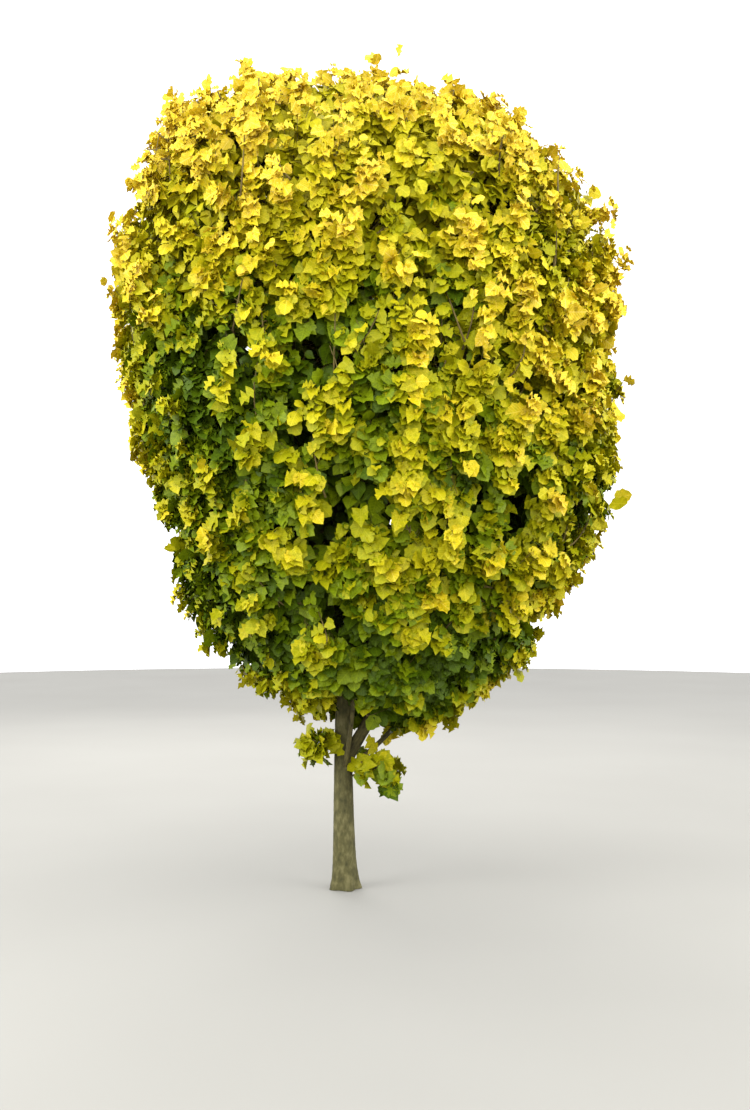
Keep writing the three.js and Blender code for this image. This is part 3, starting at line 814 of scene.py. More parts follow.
# Where twigs leave their stem: the share of it for the first one, and how much the others spread over.
RULE_ALONG, SPRAY_ALONG, CORE_ALONG = (0.95, 0.45), (0.35, 0.12), (0.9, 0.6)
SPRAY_TURN, SPRAY_PHASE, CORE_PHASE, CORE_SHORTER = 2.4, 1.7, 2.4, 0.04


def grow_stem(mass):
    reach = float(reach_of(mass, mass.heading))
    top = mass.centre + mass.heading * STEM_SHARE * reach
    return SimpleNamespace(root=mass.entry, bend=mass.centre, tip=top, radii=STEM_RADII[mass.in_crown])


def grow_twig(mass, stem, direction, along, turn, share):
    reach = float(reach_of(mass, direction))
    tip = mass.centre + direction * share * reach
    root = point_on(stem, along)
    sag = np.linalg.norm(tip - root) * TWIG_SAG
    end = mass.centre + direction * reach
    aim = end if mass.in_crown and skin_depth(end) < NEAR_SKIN else None
    return SimpleNamespace(
        root=root, bend=(root + tip) / 2 - UP * sag, tip=tip, radii=TWIG_RADII[mass.in_crown],
        direction=direction, turn=turn, reach=reach, end=end, aim=aim,
    )


def grow_twigs(mass, stem):
    random = seeded_stream(masses.index(mass) + 1)
    twigs = []
    count = TWIGS if mass.in_crown else SPRAY_OWN_TWIGS
    for index in range(count):
        spread = spread_direction(mass.heading, index, count, random())
        direction = roomiest(mass, spread, TWIG_LEAN, random())
        turn = random() * 2 * math.pi
        along = RULE_ALONG[0] - RULE_ALONG[1] * index / count
        twigs.append(grow_twig(mass, stem, direction, along, turn, TWIG_SHARE))
        for leaf in range(LEAVES_PER_TWIG):
            random()
    if not mass.in_crown:
        for index in range(SPRAY_TWIGS):
            direction = spread_direction(mass.heading, index + 0.5, SPRAY_TWIGS + 1, SPRAY_PHASE)
            along = SPRAY_ALONG[0] + SPRAY_ALONG[1] * index
            twigs.append(grow_twig(mass, stem, direction, along, SPRAY_TURN * index, SPRAY_TWIG_SHARE))
        return twigs
    for index in range(CORE_LEAVES):
        direction = spread_direction(mass.heading, index + 0.5, CORE_LEAVES + 1, CORE_PHASE + random())
        direction = roomiest(mass, direction, CORE_LEAF_LEAN, random())
        random()
        along = CORE_ALONG[0] - CORE_ALONG[1] * index / CORE_LEAVES
        turn = random() * 2 * math.pi
        twigs.append(grow_twig(mass, stem, direction, along, turn, TWIG_SHARE - CORE_SHORTER))
    return twigs


stems = [grow_stem(mass) for mass in masses]
twigs_of = [grow_twigs(mass, stem) for mass, stem in zip(masses, stems)]
print("stems", len(stems), "twigs of the rule", sum(len(group) for group in twigs_of))

# %% Finer twigs where the skin is bare
FINER_TWIGS, FINER_SEED, TWIG_DROP = 650, 99, 65.0
FINER_ALONG, FINER_SHARE = (0.25, 0.75), (0.74, 0.1)

nearness = [((skin_points - mass.centre) ** 2).sum(1) - mass.size ** 2 for mass in masses]
owner = np.argmin(nearness[:-len(LOW_SPRAYS)], 0)
room = np.full(len(skin_points), np.inf)
for twig in [twig for group in twigs_of for twig in group]:
    room = np.minimum(room, lengths(skin_points - twig.end))
random = seeded_stream(FINER_SEED)
for number in range(FINER_TWIGS):
    best = int(np.argmax(room))
    aim = skin_points[best]
    mass, stem = masses[owner[best]], stems[owner[best]]
    direction = unit(aim - UP * TWIG_DROP - mass.centre)
    along = FINER_ALONG[0] + FINER_ALONG[1] * random()
    turn = random() * 2 * math.pi
    twig = grow_twig(mass, stem, direction, along, turn, FINER_SHARE[0] + FINER_SHARE[1] * random())
    twig.aim = aim
    twigs_of[owner[best]].append(twig)
    room = np.minimum(room, lengths(skin_points - aim))
print("no place on the skin is further than", round(float(room.max())), "mm from a tuft's middle")

# %% [markdown]
# ## Shoots
# Every twig carries a tuft of shoots that rise to the skin, and some tufts stay back a little more than
# others. A twig that aims at nothing carries a few deep shoots instead. Short shoots further in back up the
# hollows, at three depths, so that one looks at green leaves there and not through the crown.

# %% Shoots of one twig
SHOOTS_PER_TWIG, INNER_SHOOTS = 7, 3
TUFT_WIDTH, TUFT_LEVEL, TUFT_STEEP, FIRST_OUT = 118.0, 0.8, 1.25, 0.15
TUFT_DEPTH, DEPTH_RANGE, STAND_OUT = LEAF_ROOM - 20, 26, 38.0
SINK, SINK_POWER, DEEP_SINK, DEEP_SINK_SHARE = 60.0, 1.5, 75.0, 0.12
FULLER_START, FULLER_RISE, FULLER_SHARE = 2900, 400, 0.6
SHOOT_SHORTEST, SHOOT_LONGEST, BEARING_SHARE = 60, 205.0, 0.55
DEEP_GROWTH = {True: (3, 120.0, SHOOT_SHORTEST, 170.0), False: (2, 60.0, 25, 90.0)}
INNER_LEANS, INNER_LENGTHS, INNER_TURN, INNER_RISE, INNER_SAG = (0.7, 1.5), (70, 150), 1.2, 0.25, 0.12
BEND_AT, RISE_SAG, LENGTH_SAG = (0.7, 0.7, 0.5), 0.35, 0.08
LONGEST_SHARE, DEEP_LONGEST_SHARE, DEEP_LOSS, NEAREST = (0.85, 0.4), (0.8, 0.4), (0.10, 0.05), 20
numbers = np.random.default_rng(20)


def bent_upward(root, tip, length):
    rise = np.maximum(tip[:, 2] - root[:, 2], 0)[:, None]
    return root + (tip - root) * BEND_AT - UP * (RISE_SAG * rise + LENGTH_SAG * length[:, None])


def grown_towards(target, root, shortest, longest):
    run = target - root
    length = lengths(run)
    held = np.clip(length, shortest, longest)
    tip = root + run / length[:, None] * held[:, None]
    return root, bent_upward(root, tip, held), tip


def grow_tuft(twig):
    index = np.arange(SHOOTS_PER_TWIG)
    around = (twig.turn + index * GOLDEN_ANGLE)[:, None]
    spread = (TUFT_WIDTH * np.sqrt((index + FIRST_OUT) / SHOOTS_PER_TWIG))[:, None]
    level, steep = square_to(skin_normal(twig.aim))
    target = twig.aim + level * np.cos(around) * spread * TUFT_LEVEL
    target = target + steep * np.sin(around) * spread * TUFT_STEEP
    sink = SINK * numbers.random() ** SINK_POWER + DEEP_SINK * (numbers.random() < DEEP_SINK_SHARE)
    sink = sink * (1 - FULLER_SHARE * smooth((twig.aim[2] - FULLER_START) / FULLER_RISE))
    depth = TUFT_DEPTH + sink + DEPTH_RANGE * index / SHOOTS_PER_TWIG
    depth = depth + DEPTH_RANGE * numbers.random(SHOOTS_PER_TWIG)
    depth[0] = depth[0] - STAND_OUT * numbers.random()
    root = point_on(twig, 1 - BEARING_SHARE * (index / SHOOTS_PER_TWIG))
    longest = SHOOT_LONGEST * (LONGEST_SHARE[0] + LONGEST_SHARE[1] * numbers.random(SHOOTS_PER_TWIG))
    return grown_towards(brought_to(target, depth), root, SHOOT_SHORTEST, longest)


def grow_deep_shoots(mass, twig):
    count, width, shortest, longest = DEEP_GROWTH[mass.in_crown]
    index = np.arange(count)
    lean = width / twig.reach * np.sqrt((index + FIRST_OUT) / count)
    direction = leaned_from(np.tile(twig.direction, (count, 1)), lean, twig.turn + index * GOLDEN_ANGLE)
    share = 1.0 - DEEP_LOSS[0] * index / count - DEEP_LOSS[1] * numbers.random(count)
    reach = np.maximum((reach_of(mass, direction) - LEAF_ROOM) * share, NEAREST)
    target = mass.centre + direction * reach[:, None]
    root = point_on(twig, 1 - BEARING_SHARE * (index / count))
    longest = longest * (DEEP_LONGEST_SHARE[0] + DEEP_LONGEST_SHARE[1] * numbers.random(count))
    return grown_towards(target, root, shortest, longest)


def grow_inner_shoots(twig):
    index = np.arange(INNER_SHOOTS)
    lean = numbers.uniform(*INNER_LEANS, INNER_SHOOTS)
    run = unit(twig.tip - twig.root)
    turn = twig.turn + INNER_TURN + index * GOLDEN_ANGLE
    direction = unit(leaned_from(np.tile(run, (INNER_SHOOTS, 1)), lean, turn) + UP * INNER_RISE)
    root = point_on(twig, FINER_ALONG[0] + FINER_ALONG[1] * (index + 0.5) / INNER_SHOOTS)
    length = numbers.uniform(*INNER_LENGTHS, INNER_SHOOTS)[:, None]
    tip = root + direction * length
    return root, (root + tip) / 2 - UP * length * INNER_SAG, tip


print("shoots of a tuft", SHOOTS_PER_TWIG, "and further in", INNER_SHOOTS)

# %% Backing shoots
BACKING = [(7, 130.0), (5, 170.0), (5, 245.0)]
BACKING_VARIATION, BACKING_SHORTEST, ROOT_DROP = 25, 60, 40
WOOD_PLACES = np.array([0.3, 0.5, 0.7, 0.85, 1.0])


def tree_over(points):
    tree = kdtree.KDTree(len(points))
    for index, place in enumerate(points):
        tree.insert(place, index)
    tree.balance()
    return tree


def grow_backing(twigs, every, depth):
    above = skin_points[::every]
    target = brought_to(above, depth + BACKING_VARIATION * numbers.normal(size=len(above)))
    wood = np.concatenate([point_on(twig, WOOD_PLACES) for twig in twigs])
    nearest = tree_over(wood)
    root = wood[[nearest.find(place - UP * ROOT_DROP)[1] for place in target]]
    length = lengths(target - root)
    far = np.maximum(length, BACKING_SHORTEST)[:, None]
    tip = root + unit(target - root + UP * 0.01) * far
    return root, bent_upward(root, tip, length), tip


print("backing layers", len(BACKING))

# %% [markdown]
# ## Growing them in order
# On this tree one looks in between the sprays at the fork and at a piece of stem above it, so growth in
# front of those is thinned. An opening is given by its middle and half width, how far back it reaches, and
# the share that goes at each height. Random numbers are drawn in one fixed order, twig by twig, which keeps
# the tree the same on every run.

# %% Grow the shoots
TWIGS_CLEARED = (85, 120, 60, [740, 800], [1, 0])
SHOOTS_CLEARED = (85, 120, 60, [740, 800, 900, 1000], [1, 0.75, 0.4, 0])
LEAVES_CLEARED = (85, 120, 60, [700, 760], [1, 0])
STEM_CLEARED = (50, 55, 0, [900, 960, 1220, 1300], [0, 0.6, 0.6, 0])
TONE_SPREAD = 0.35
TUFT, DEEP, INNER, LOW, LEADER = range(5)
shoot_parts = []


def in_opening(points, opening):
    middle, half_width, back, heights, shares = opening
    near = (np.abs(points[..., 0] - middle) < half_width) & (points[..., 1] < back)
    return near & (numbers.random(points.shape[:-1]) < np.interp(points[..., 2], heights, shares))


def keep_shoots(mass, route, kind, tone):
    root, bend, tip = route
    kept = np.ones(len(root), bool)
    if kind != LOW:
        kept = ~in_opening(tip, SHOOTS_CLEARED) & ~in_opening(tip, STEM_CLEARED)
    if kind in (INNER, DEEP):
        kept = kept & (skin_depth(tip) > (LEAF_ROOM if kind == INNER else 0))
    count = int(kept.sum())
    centre = np.tile(mass.centre, (count, 1))
    kinds, tones = np.full(count, kind), np.full(count, tone)
    shoot_parts.append((root[kept], bend[kept], tip[kept], centre, kinds, tones))


for mass, group in zip(masses, twigs_of):
    if mass.in_crown:
        group[:] = [twig for twig in group if not in_opening(twig.tip, TWIGS_CLEARED)]
twigs = [twig for group in twigs_of for twig in group]
crown_twigs = [twig for mass, group in zip(masses, twigs_of) if mass.in_crown for twig in group]
for mass, group in zip(masses, twigs_of):
    for twig in group:
        tone = numbers.normal(0, TONE_SPREAD)
        if twig.aim is not None:
            keep_shoots(mass, grow_tuft(twig), TUFT, tone)
            keep_shoots(mass, grow_inner_shoots(twig), INNER, tone)
        else:
            keep_shoots(mass, grow_deep_shoots(mass, twig), DEEP if mass.in_crown else LOW, tone)
for every, depth in BACKING:
    keep_shoots(masses[0], grow_backing(crown_twigs, every, depth), DEEP, 0.0)
print("twigs", len(twigs), "shoots", sum(len(part[0]) for part in shoot_parts))

# %% [markdown]
# ## Leaders
# Here and there an upright leader shows between the tufts as a thin dark line. It runs just below the skin,
# steeply up with a slight drift to one side, and leaves stand to its left and right.

# %% Grow the leaders
LEADER_EVERY, LEADER_DRIFT, LEADER_LENGTHS = 4, 50, (190, 330)
LEADER_LOWEST, LEADER_HIGHEST, MOST_TILT = 1050, 2950, 0.5
LEADER_DEPTHS = np.array([84.0, 50.0, 30.0])
leader_routes = []


def bears_leader(number, aim):
    if aim is None or number % LEADER_EVERY != LEADER_EVERY - 1:
        return False
    return LEADER_LOWEST < aim[2] < LEADER_HIGHEST and abs(skin_normal(aim)[2]) < MOST_TILT


for mass, group in zip(masses, twigs_of):
    for number, twig in enumerate(group):
        if not bears_leader(number, twig.aim):
            continue
        drift = square_to(skin_normal(twig.aim))[0] * numbers.uniform(-LEADER_DRIFT, LEADER_DRIFT)
        half = UP * 0.5 * numbers.uniform(*LEADER_LENGTHS) + drift
        route = brought_to(twig.aim + np.array([-half, 0 * half, half]), LEADER_DEPTHS)
        leader_routes.append(route)
        keep_shoots(mass, route[:, None], LEADER, 0.0)
shoot_root, shoot_bend, shoot_tip, shoot_centre, shoot_kind, shoot_tone = [
    np.concatenate(part) for part in zip(*shoot_parts)
]
print("leaders", len(leader_routes), "shoots in all", len(shoot_root))

# %% [markdown]
# ## Wood of twigs and shoots
# A twig is modelled once: a thin cylinder with a few rings. Thousands of them as objects would be slow, so
# its points are read into an array, carried along every route at once, and laid out as one joined mesh.

# %% Model one twig and read its mesh


def model_twig_form(name, sides, rings):
    bpy.ops.object.select_all(action="DESELECT")
    bpy.ops.mesh.primitive_cylinder_add(vertices=sides, radius=1, depth=1, end_fill_type="NGON")
    form = bpy.context.object
    form.name = name
    bpy.context.tool_settings.mesh_select_mode = (False, True, False)
    edit("DESELECT")
    for edge in form.data.edges:
        low, high = [form.data.vertices[i].co.z for i in edge.vertices]
        edge.select = abs(low - high) > 0.5
    if rings:
        edit(None, bpy.ops.mesh.subdivide, number_cuts=rings)
    edit(None, bpy.ops.mesh.select_mode, type="VERT")
    edit("SELECT", bpy.ops.mesh.quads_convert_to_tris)
    edit("SELECT", bpy.ops.mesh.normals_make_consistent, inside=False)
    return form


def read_form(form):
    mesh = form.data
    points = np.array([vertex.co for vertex in mesh.vertices])
    faces = np.array([list(face.vertices) for face in mesh.polygons])
    bpy.data.objects.remove(form)
    return points, faces


def joined_mesh(name, points, faces, uv_name, uv, finish):
    count, corners = points.shape[:2]
    every_face = (faces[None] + np.arange(count)[:, None, None] * corners).reshape(-1)
    mesh = bpy.data.meshes.new(name)
    mesh.vertices.add(count * corners)
    mesh.vertices.foreach_set("co", (points * MM).astype(np.float32).ravel())
    mesh.loops.add(len(every_face))
    mesh.loops.foreach_set("vertex_index", every_face.astype(np.int32))
    mesh.polygons.add(len(every_face) // 3)
    mesh.polygons.foreach_set("loop_start", np.arange(0, len(every_face), 3, dtype=np.int32))
    mesh.polygons.foreach_set("use_smooth", np.ones(len(every_face) // 3, bool))
    layer = mesh.uv_layers.new(name=uv_name)
    layer.data.foreach_set("uv", uv.reshape(-1, 2)[every_face].astype(np.float32).ravel())
    mesh.update()
    mesh.validate()
    mesh.materials.append(finish)
    piece = bpy.data.objects.new(name, mesh)
    bpy.context.scene.collection.objects.link(piece)
    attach(piece, "root")
    print(name, len(mesh.polygons), "triangles")
    return piece


# Each form has its number of sides and of rings between its ends.
FORMS = {"stems": (10, 12), "twigs": (5, 4), "shoots": (3, 1), "inner_shoots": (3, 0), "leaders": (6, 4)}
wood_forms = {name: read_form(model_twig_form(name + "_form", *size)) for name, size in FORMS.items()}
print("triangles of one form", {name: len(faces) for name, (points, faces) in wood_forms.items()})

# %% Carry the forms along the routes
MAP_GIRTH = 0.03


def carry(points, roots, bends, tips, radii):
    t = (points[:, 2] + 0.5)[None, :, None]
    curve = (roots[:, None], bends[:, None], tips[:, None])
    tangent = along_curve(t, *curve)
    run = tips - roots
    side = unit(np.cross(run, np.where(np.abs(unit(run)[:, 2:]) > STEEP, ACROSS, UP)))
    other = unit(np.cross(tangent, side[:, None]))
    across = np.cross(other, tangent)
    width = radii[:, 0, None, None] + (radii[:, 1] - radii[:, 0])[:, None, None] * t
    placed = on_curve(t, *curve) + (across * points[None, :, :1] + other * points[None, :, 1:2]) * width
    length = lengths(run)[:, None]
    turn = np.arctan2(points[:, 1], points[:, 0])[None] / (2 * math.pi) * MAP_GIRTH
    uv = np.stack([np.broadcast_to(turn, placed.shape[:2]), t[..., 0] * length * MM], -1)
    return placed, uv


def routes_to_arrays(routes):
    parts = ("root", "bend", "tip", "radii")
    return [np.array([getattr(route, part) for route in routes], float) for part in parts]


def shoots_of(kinds, root_radius, tip_radius):
    some = np.isin(shoot_kind, kinds)
    radii = np.tile((root_radius, tip_radius), (int(some.sum()), 1))
    return shoot_root[some], shoot_bend[some], shoot_tip[some], radii


ROUTES = {
    "stems": routes_to_arrays(stems), "twigs": routes_to_arrays(twigs),
    "shoots": shoots_of([TUFT, LOW], 2.0, 0.9), "inner_shoots": shoots_of([DEEP, INNER], 1.9, 0.9),
    "leaders": shoots_of([LEADER], 4.2, 1.5),
}
for name, (points, faces) in wood_forms.items():
    placed, uv = carry(points, *ROUTES[name])
    finish = bough_bark if name == "stems" else twig_bark
    piece = joined_mesh(name, placed, faces, "bark", uv, finish)
    wood_pieces.append(piece)

# %% [markdown]
# ## One leaf
# An elm leaf is broad, coarsely toothed, pointed, folded a little along its midrib and crinkled. The eye
# knows it by its outline, so the leaf is modelled as that outline: a filled circle of fourteen corners,
# whose corners are moved one by one to the stalk, the teeth, the notches between them and the tip. The
# middle corner becomes the bottom of the fold. Teeth stand up and notches hang down, which crinkles the
# blade. Three forms differ in how much they arch and twist. Deep inside the crown, where only slivers of
# leaves show, a plainer form of eight corners will do.

# %% Model the leaf forms
TOOTHED_HALF = [
    (-0.04, 0.20, 0.06), (0.14, 0.44, 0.18), (0.31, 0.40, -0.05),
    (0.49, 0.49, 0.18), (0.65, 0.35, -0.03), (0.80, 0.27, 0.12),
]
PLAIN_HALF = [(0.06, 0.34, 0.04), (0.44, 0.47, 0.09), (0.70, 0.26, 0.02)]
# The values are how much a leaf folds, arches and twists, and how wide it is for its length.
LEAF_SHAPES = [
    ("flat_leaf", TOOTHED_HALF, 1.0, 0.16, 0.10, 1.0),
    ("cupped_leaf", TOOTHED_HALF, 1.7, 0.30, -0.22, 0.92),
    ("waved_leaf", TOOTHED_HALF, -0.5, 0.24, 0.30, 1.06),
    ("plain_leaf", PLAIN_HALF, 1.2, 0.2, 0.15, 1.0),
]
MIDDLE, STALK, TIP = (0.45, 0.0, -0.03), (0.0, 0.0, 0.0), (1.0, 0.0, -0.02)
RIGHT_ALONG, RIGHT_WIDTH, RIGHT_LIFT, TWIST_CENTRE = 0.05, 0.93, 0.02, 0.4


def model_leaf(name, half, fold, arch, twist, wide):
    corners = 2 * len(half) + 2
    bpy.ops.object.select_all(action="DESELECT")
    bpy.ops.mesh.primitive_circle_add(vertices=corners, radius=0.5, fill_type="TRIFAN")
    leaf = bpy.context.object
    leaf.name = name
    mesh = leaf.data
    middle = min(range(corners + 1), key=lambda i: mesh.vertices[i].co.length)
    rim = [i for i in range(corners + 1) if i != middle]
    right = [(x + RIGHT_ALONG, -RIGHT_WIDTH * y, z + RIGHT_LIFT) for x, y, z in reversed(half)]
    for index, (x, y, z) in zip([middle, *rim], [MIDDLE, STALK, *half, TIP, *right]):
        lift = z * fold - arch * x * x + twist * y * (x - TWIST_CENTRE)
        edit("DESELECT")
        mesh.vertices[index].select = True
        shift = Vector((x, y * wide, lift)) - mesh.vertices[index].co
        edit(None, bpy.ops.transform.translate, value=shift)
    return leaf


leaf_forms = [read_form(model_leaf(*shape)) for shape in LEAF_SHAPES]
for shape, (points, faces) in zip(LEAF_SHAPES, leaf_forms):
    corners = points[faces]
    crossed = np.cross(corners[:, 1] - corners[:, 0], corners[:, 2] - corners[:, 0])
    if crossed[:, 2].sum() < 0:
        faces[:] = faces[:, ::-1]
    print(shape[0], len(faces), "triangles, area", round(lengths(crossed).sum() / 2, 3))

# %% [markdown]
# ## Leaves along the shoots
# Elm leaves stand to the left and right of a shoot by turns. They hang: the tip points down and outward,
# the upper side faces out and up, and they overlap like shingles. Leaves near the end of a shoot are
# younger and smaller, and those near the top of the tree are a little smaller too. Then a few are taken
# away again: those that cut into the trunk, lie over a leader or hang low before the fork.

# %% Place every leaf
LEAVES_OF_KIND = np.array([8, 5, 5, 4, 8])
LEAVES_PER_SHOOT = 8
LEAF_LENGTH, SIZES, YOUNG_LOSS = 59.0, (0.62, 1.28), 0.3
FIRST_LEAF, SHIFT = 0.24, 0.04
ALONG_SHOOT, TO_SIDE, AWAY, DROOPS, JITTER = 0.3, 0.5, 0.4, (0.25, 1.1), 0.28
FACE_AWAY, FACE_OUT, FACE_UP, FACE_JITTER = 0.4, 0.6, 0.3, 0.32
OLD_SIZE, LOW_SIZE, TOP_SIZE_LOSS, LOSS_START, LOSS_RISE, LOW_SPRAY_SIZE = 1.05, 1.03, 0.12, 2000, 900, 1.18
NEVER_ZERO = 1e-6

count, total = LEAVES_PER_SHOOT, len(shoot_root)
step = np.arange(count)
grown = LEAVES_OF_KIND[shoot_kind][:, None]
t = FIRST_LEAF + (1 - FIRST_LEAF) * (step + 0.6) / (grown - 0.4)
t = np.clip(t + numbers.uniform(-SHIFT, SHIFT, (total, count)), 0.1, 1)[..., None]
curve = (shoot_root[:, None], shoot_bend[:, None], shoot_tip[:, None])
leaf_root = on_curve(t, *curve)
tangent = along_curve(t, *curve)
axis = np.stack([crown_axis(leaf_root[..., 2]), np.zeros((total, count)), leaf_root[..., 2]], -1)
radial = unit((leaf_root - axis) + NEVER_ZERO)
outward = unit(unit(leaf_root - shoot_centre[:, None]) + radial)
side = unit(np.cross(tangent, UP) + NEVER_ZERO)
rank = np.where((step + numbers.integers(0, 2, (total, 1))) % 2 == 0, 1.0, -1.0)[..., None]
droop = numbers.uniform(*DROOPS, (total, count, 1))
jitter = numbers.normal(0, JITTER, (total, count, 3))
leaf_direction = ALONG_SHOOT * tangent + TO_SIDE * rank * side + AWAY * outward - droop * UP + jitter
leaf_direction = unit(leaf_direction)
facing = FACE_AWAY * outward + FACE_OUT * radial + FACE_UP * UP
facing = facing + numbers.normal(0, FACE_JITTER, (total, count, 3))
leaf_normal = unit(facing - (facing * leaf_direction).sum(-1, keepdims=True) * leaf_direction)
size = LEAF_LENGTH * numbers.uniform(*SIZES, (total, count)) * (OLD_SIZE - YOUNG_LOSS * (step / count) ** 2)
size = size * (LOW_SIZE - TOP_SIZE_LOSS * smooth((leaf_root[..., 2] - LOSS_START) / LOSS_RISE))
leaf_size = np.where(shoot_kind[:, None] == LOW, size * LOW_SPRAY_SIZE, size).reshape(-1)
leaf_root, leaf_direction, leaf_normal = [
    rows.reshape(-1, 3) for rows in (leaf_root, leaf_direction, leaf_normal)
]
leaf_middle = leaf_root + leaf_direction * leaf_size[:, None] * 0.5
print("leaves grown", int((step < grown).sum()), "mean length", round(float(leaf_size.mean()), 1), "mm")

# %% Clear the trunk, the leaders and the fork
TRUNK_CLEAR, LEADER_CLEAR, LEADER_REACH, BEHIND = 22, 20.0, 75, -6
LOW_SPRAY_DEPTH, DEPTHS = 40.0, (-60, 900)
LEADER_SHOWN = np.linspace(0.12, 0.72, 10)

in_low_spray = np.repeat(shoot_kind == LOW, count)
leaf_depth = np.where(in_low_spray, LOW_SPRAY_DEPTH, np.clip(skin_depth(leaf_middle, False), *DEPTHS))
height = np.clip(leaf_middle[:, 2], 0, TRUNK_TIP)
trunk_gap = lengths(leaf_middle - trunk_axis(height))
clear = (trunk_gap > trunk_radius(height) + TRUNK_CLEAR) & (step < grown).reshape(-1)

tree_of_leaves = tree_over(leaf_middle)
for root, bend, tip in leader_routes:
    for part in LEADER_SHOWN:
        spot = on_curve(part, root, bend, tip)
        normal = skin_normal(spot)
        for place, index, distance in tree_of_leaves.find_range(spot, LEADER_REACH):
            away = np.array(place) - spot
            outward_by = away @ normal
            if outward_by > BEHIND and np.linalg.norm(away - normal * outward_by) < LEADER_CLEAR:
                clear[index] = False
clear = clear & (in_low_spray | ~in_opening(leaf_middle, LEAVES_CLEARED))
print("leaves", int(clear.sum()), "of", len(clear))

# %% [markdown]
# ## Tints
# A leaf's tint says how much light it has had. A golden elm's leaves really are greener where they grow in
# shade, but the tints here also paint light and shade into the colour: it is more golden high up, near the
# skin and on the sunny side, as painted sunlight, and greener and darker low down and in the hollows, as
# painted shade. Leaves near the tip of their shoot are young and more golden. Leaves of one shoot share
# most of their tint, and so do the shoots of one tuft. Some broad patches are painted greener and darker,
# as painted shade where the crown lies in the shade of its own boughs, and a few are painted a little more
# golden, as painted light.

# %% Deal out the tints by spray
# Each patch has its bearing and height, its half width in degrees, its half height and how much it takes:
# a positive amount paints shade, a negative one paints light.
PAINTED_SHADE_AND_LIGHT_PATCHES = [
    (-131, 2060, 26, 280, 2.0), (-168, 1900, 18, 500, -0.5), (-90, 2250, 22, 250, 1.1),
    (-80, 940, 70, 170, 2.8), (-50, 2720, 25, 240, 1.2), (-45, 2080, 22, 260, -1.0),
    (-95, 1450, 60, 220, -0.45),
]
# Height and the sunny side make leaves more golden: painted sunlight on top of their own colour.
SUN_SIDE, SUN_GAIN = unit(np.array([0.75, -0.55, 0.0])), 0.4
LOWEST_SCORE, HEIGHT_GAIN, HEIGHT_POWER, SCORE_START, SCORE_RISE = 1.25, 4.4, 2.1, 700, 2800
LOW_SPRAY_SCORE = 1.8
LIGHT_GAIN, LIGHT_DEPTH, LIGHT_LOSS = 3.7, 58, 1.7
LEAF_SPREAD, YOUTH_RANGE = 0.25, 0.8
INNER_DEPTH, INNER_BEST = 90, 3

tip_height = shoot_tip[:, 2]
axis_there = np.stack([crown_axis(tip_height), 0 * tip_height, tip_height], -1)
spray_out = unit((shoot_tip - axis_there) * (1, 1, 0) + NEVER_ZERO)
bearing = np.degrees(np.arctan2(spray_out[:, 1], spray_out[:, 0]))
high = smooth((tip_height - SCORE_START) / SCORE_RISE) ** HEIGHT_POWER
score = LOWEST_SCORE + HEIGHT_GAIN * high + SUN_GAIN * (spray_out @ SUN_SIDE)
score = np.where(shoot_kind == LOW, LOW_SPRAY_SCORE, score)
score = score + shoot_tone + numbers.normal(0, TONE_SPREAD, total)
score = score - sum_of_lobes(bearing, tip_height, PAINTED_SHADE_AND_LIGHT_PATCHES)
# Painted shade and light: the tint falls with depth below the skin, and the outermost leaves get painted
# sunlight.
light = LIGHT_GAIN * np.exp(-np.maximum(leaf_depth, 0) / LIGHT_DEPTH) - LIGHT_LOSS
youth = np.tile(YOUTH_RANGE * (step / count) - YOUTH_RANGE / 2, total)
leaf_score = np.repeat(score, count) + light + youth + numbers.normal(0, LEAF_SPREAD, len(light))
# Inner leaves are held at lime gold at most, as painted shade.
inner = leaf_depth > INNER_DEPTH
leaf_score = np.where(inner, np.minimum(leaf_score, INNER_BEST), leaf_score)
tint = np.clip(np.rint(leaf_score), 0, 5).astype(int)
print("leaves of each tint", [int(((tint == i) & clear).sum()) for i in range(6)])

# %% [markdown]
# ## The leaves as pieces
# Every leaf is one of the four forms, laid out at its place, and all leaves of one tint are joined. Inner
# leaves are pieces of their own, as their form has fewer corners, and a piece that grew too large would be
# cut in two. The solids of the foliage masses, upper and lower, are then hidden.

# %% Lay the leaves out as joined meshes
MOST_TRIANGLES = 195000
FIRST_GOLD_TINT, GOLD_FROM = 3, 1700
form_of = np.where(inner, 3, numbers.integers(0, 3, len(tint)))


def lay_leaves(name, some, forms, finish):
    points_of = np.array([leaf_forms[i][0] for i in forms])
    faces = leaf_forms[forms[0]][1]
    shape = points_of[np.minimum(form_of[some], len(forms) - 1)] * leaf_size[some][:, None, None]
    across = np.cross(leaf_normal[some], leaf_direction[some])[:, None]
    along = leaf_direction[some][:, None]
    points = leaf_root[some][:, None] + shape[..., :1] * along + shape[..., 1:2] * across
    points = points + shape[..., 2:] * leaf_normal[some][:, None]
    leaf_map = points_of[0][:, :2] + (0, 0.5)
    uv = np.broadcast_to(leaf_map, (len(some), *leaf_map.shape))
    return joined_mesh(name, points, faces, "leaf", uv, finish)


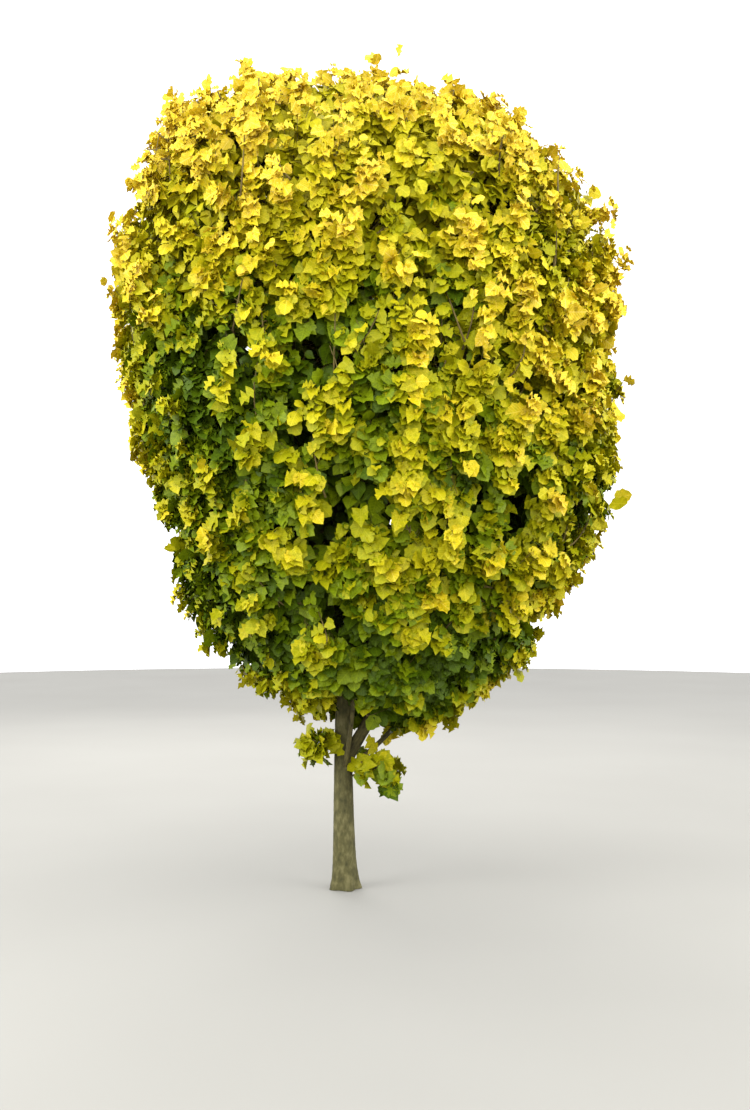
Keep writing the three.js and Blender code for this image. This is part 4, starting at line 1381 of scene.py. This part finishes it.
leaf_pieces = []
for number, finish in enumerate(leaf_finishes):
    for kind, forms in (("outer", [0, 1, 2]), ("inner", [3])):
        chosen = np.nonzero((tint == number) & clear & (inner == (kind == "inner")))[0]
        most = MOST_TRIANGLES // len(leaf_forms[forms[0]][1])
        for part in range(0, math.ceil(len(chosen) / most)):
            some = chosen[part * most:(part + 1) * most]
            piece = lay_leaves(f"{kind}_{finish.name}_{part + 1}", some, forms, finish)
            leaf_pieces.append(piece)

gold_masses = [f"foliage_{mass.name}" for mass in masses if mass.centre[2] > GOLD_FROM]
lime_masses = [
    f"foliage_{mass.name}" if mass.in_crown else mass.name for mass in masses if mass.centre[2] <= GOLD_FROM
]
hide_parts(*gold_masses)
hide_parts(*lime_masses)
print("leaf pieces", len(leaf_pieces))

# %% [markdown]
# ## Floor
# The tree stands on a plain pale floor, which is not part of it. A large disc is enough, with a trace of
# unevenness in its tone.

# %% Lay the floor
FLOOR_RADIUS = 14

bpy.ops.object.select_all(action="DESELECT")
bpy.ops.mesh.primitive_circle_add(vertices=96, radius=FLOOR_RADIUS, fill_type="NGON", location=(0, 0, -MM))
floor = bpy.context.object
floor.name = "studio_floor"
# Matt paint: no reflection, so that only a soft shadow ties the tree to the ground.
floor_finish, surface, add = new_finish("matt_studio_floor")
unevenness = add("TexNoise", _0=add("TexCoord").outputs["Object"], Scale=0.6, Detail=2.0)
floor_ramp = add("ValToRGB", ((0, "#8c8a84"), (1, "#96948e")), Fac=unevenness)
fill_in(surface, Base_Color=floor_ramp, Roughness=0.9)
floor.data.materials.append(floor_finish)
print("floor", [round(v, 2) for v in floor.dimensions])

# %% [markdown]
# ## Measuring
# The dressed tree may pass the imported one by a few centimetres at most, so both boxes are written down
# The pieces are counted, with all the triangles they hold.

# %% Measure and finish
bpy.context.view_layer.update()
pieces = [*wood_pieces, *leaf_pieces]
triangles = sum(len(piece.data.loops) - 2 * len(piece.data.polygons) for piece in pieces)
print("pieces", len(pieces), "triangles in all", triangles)
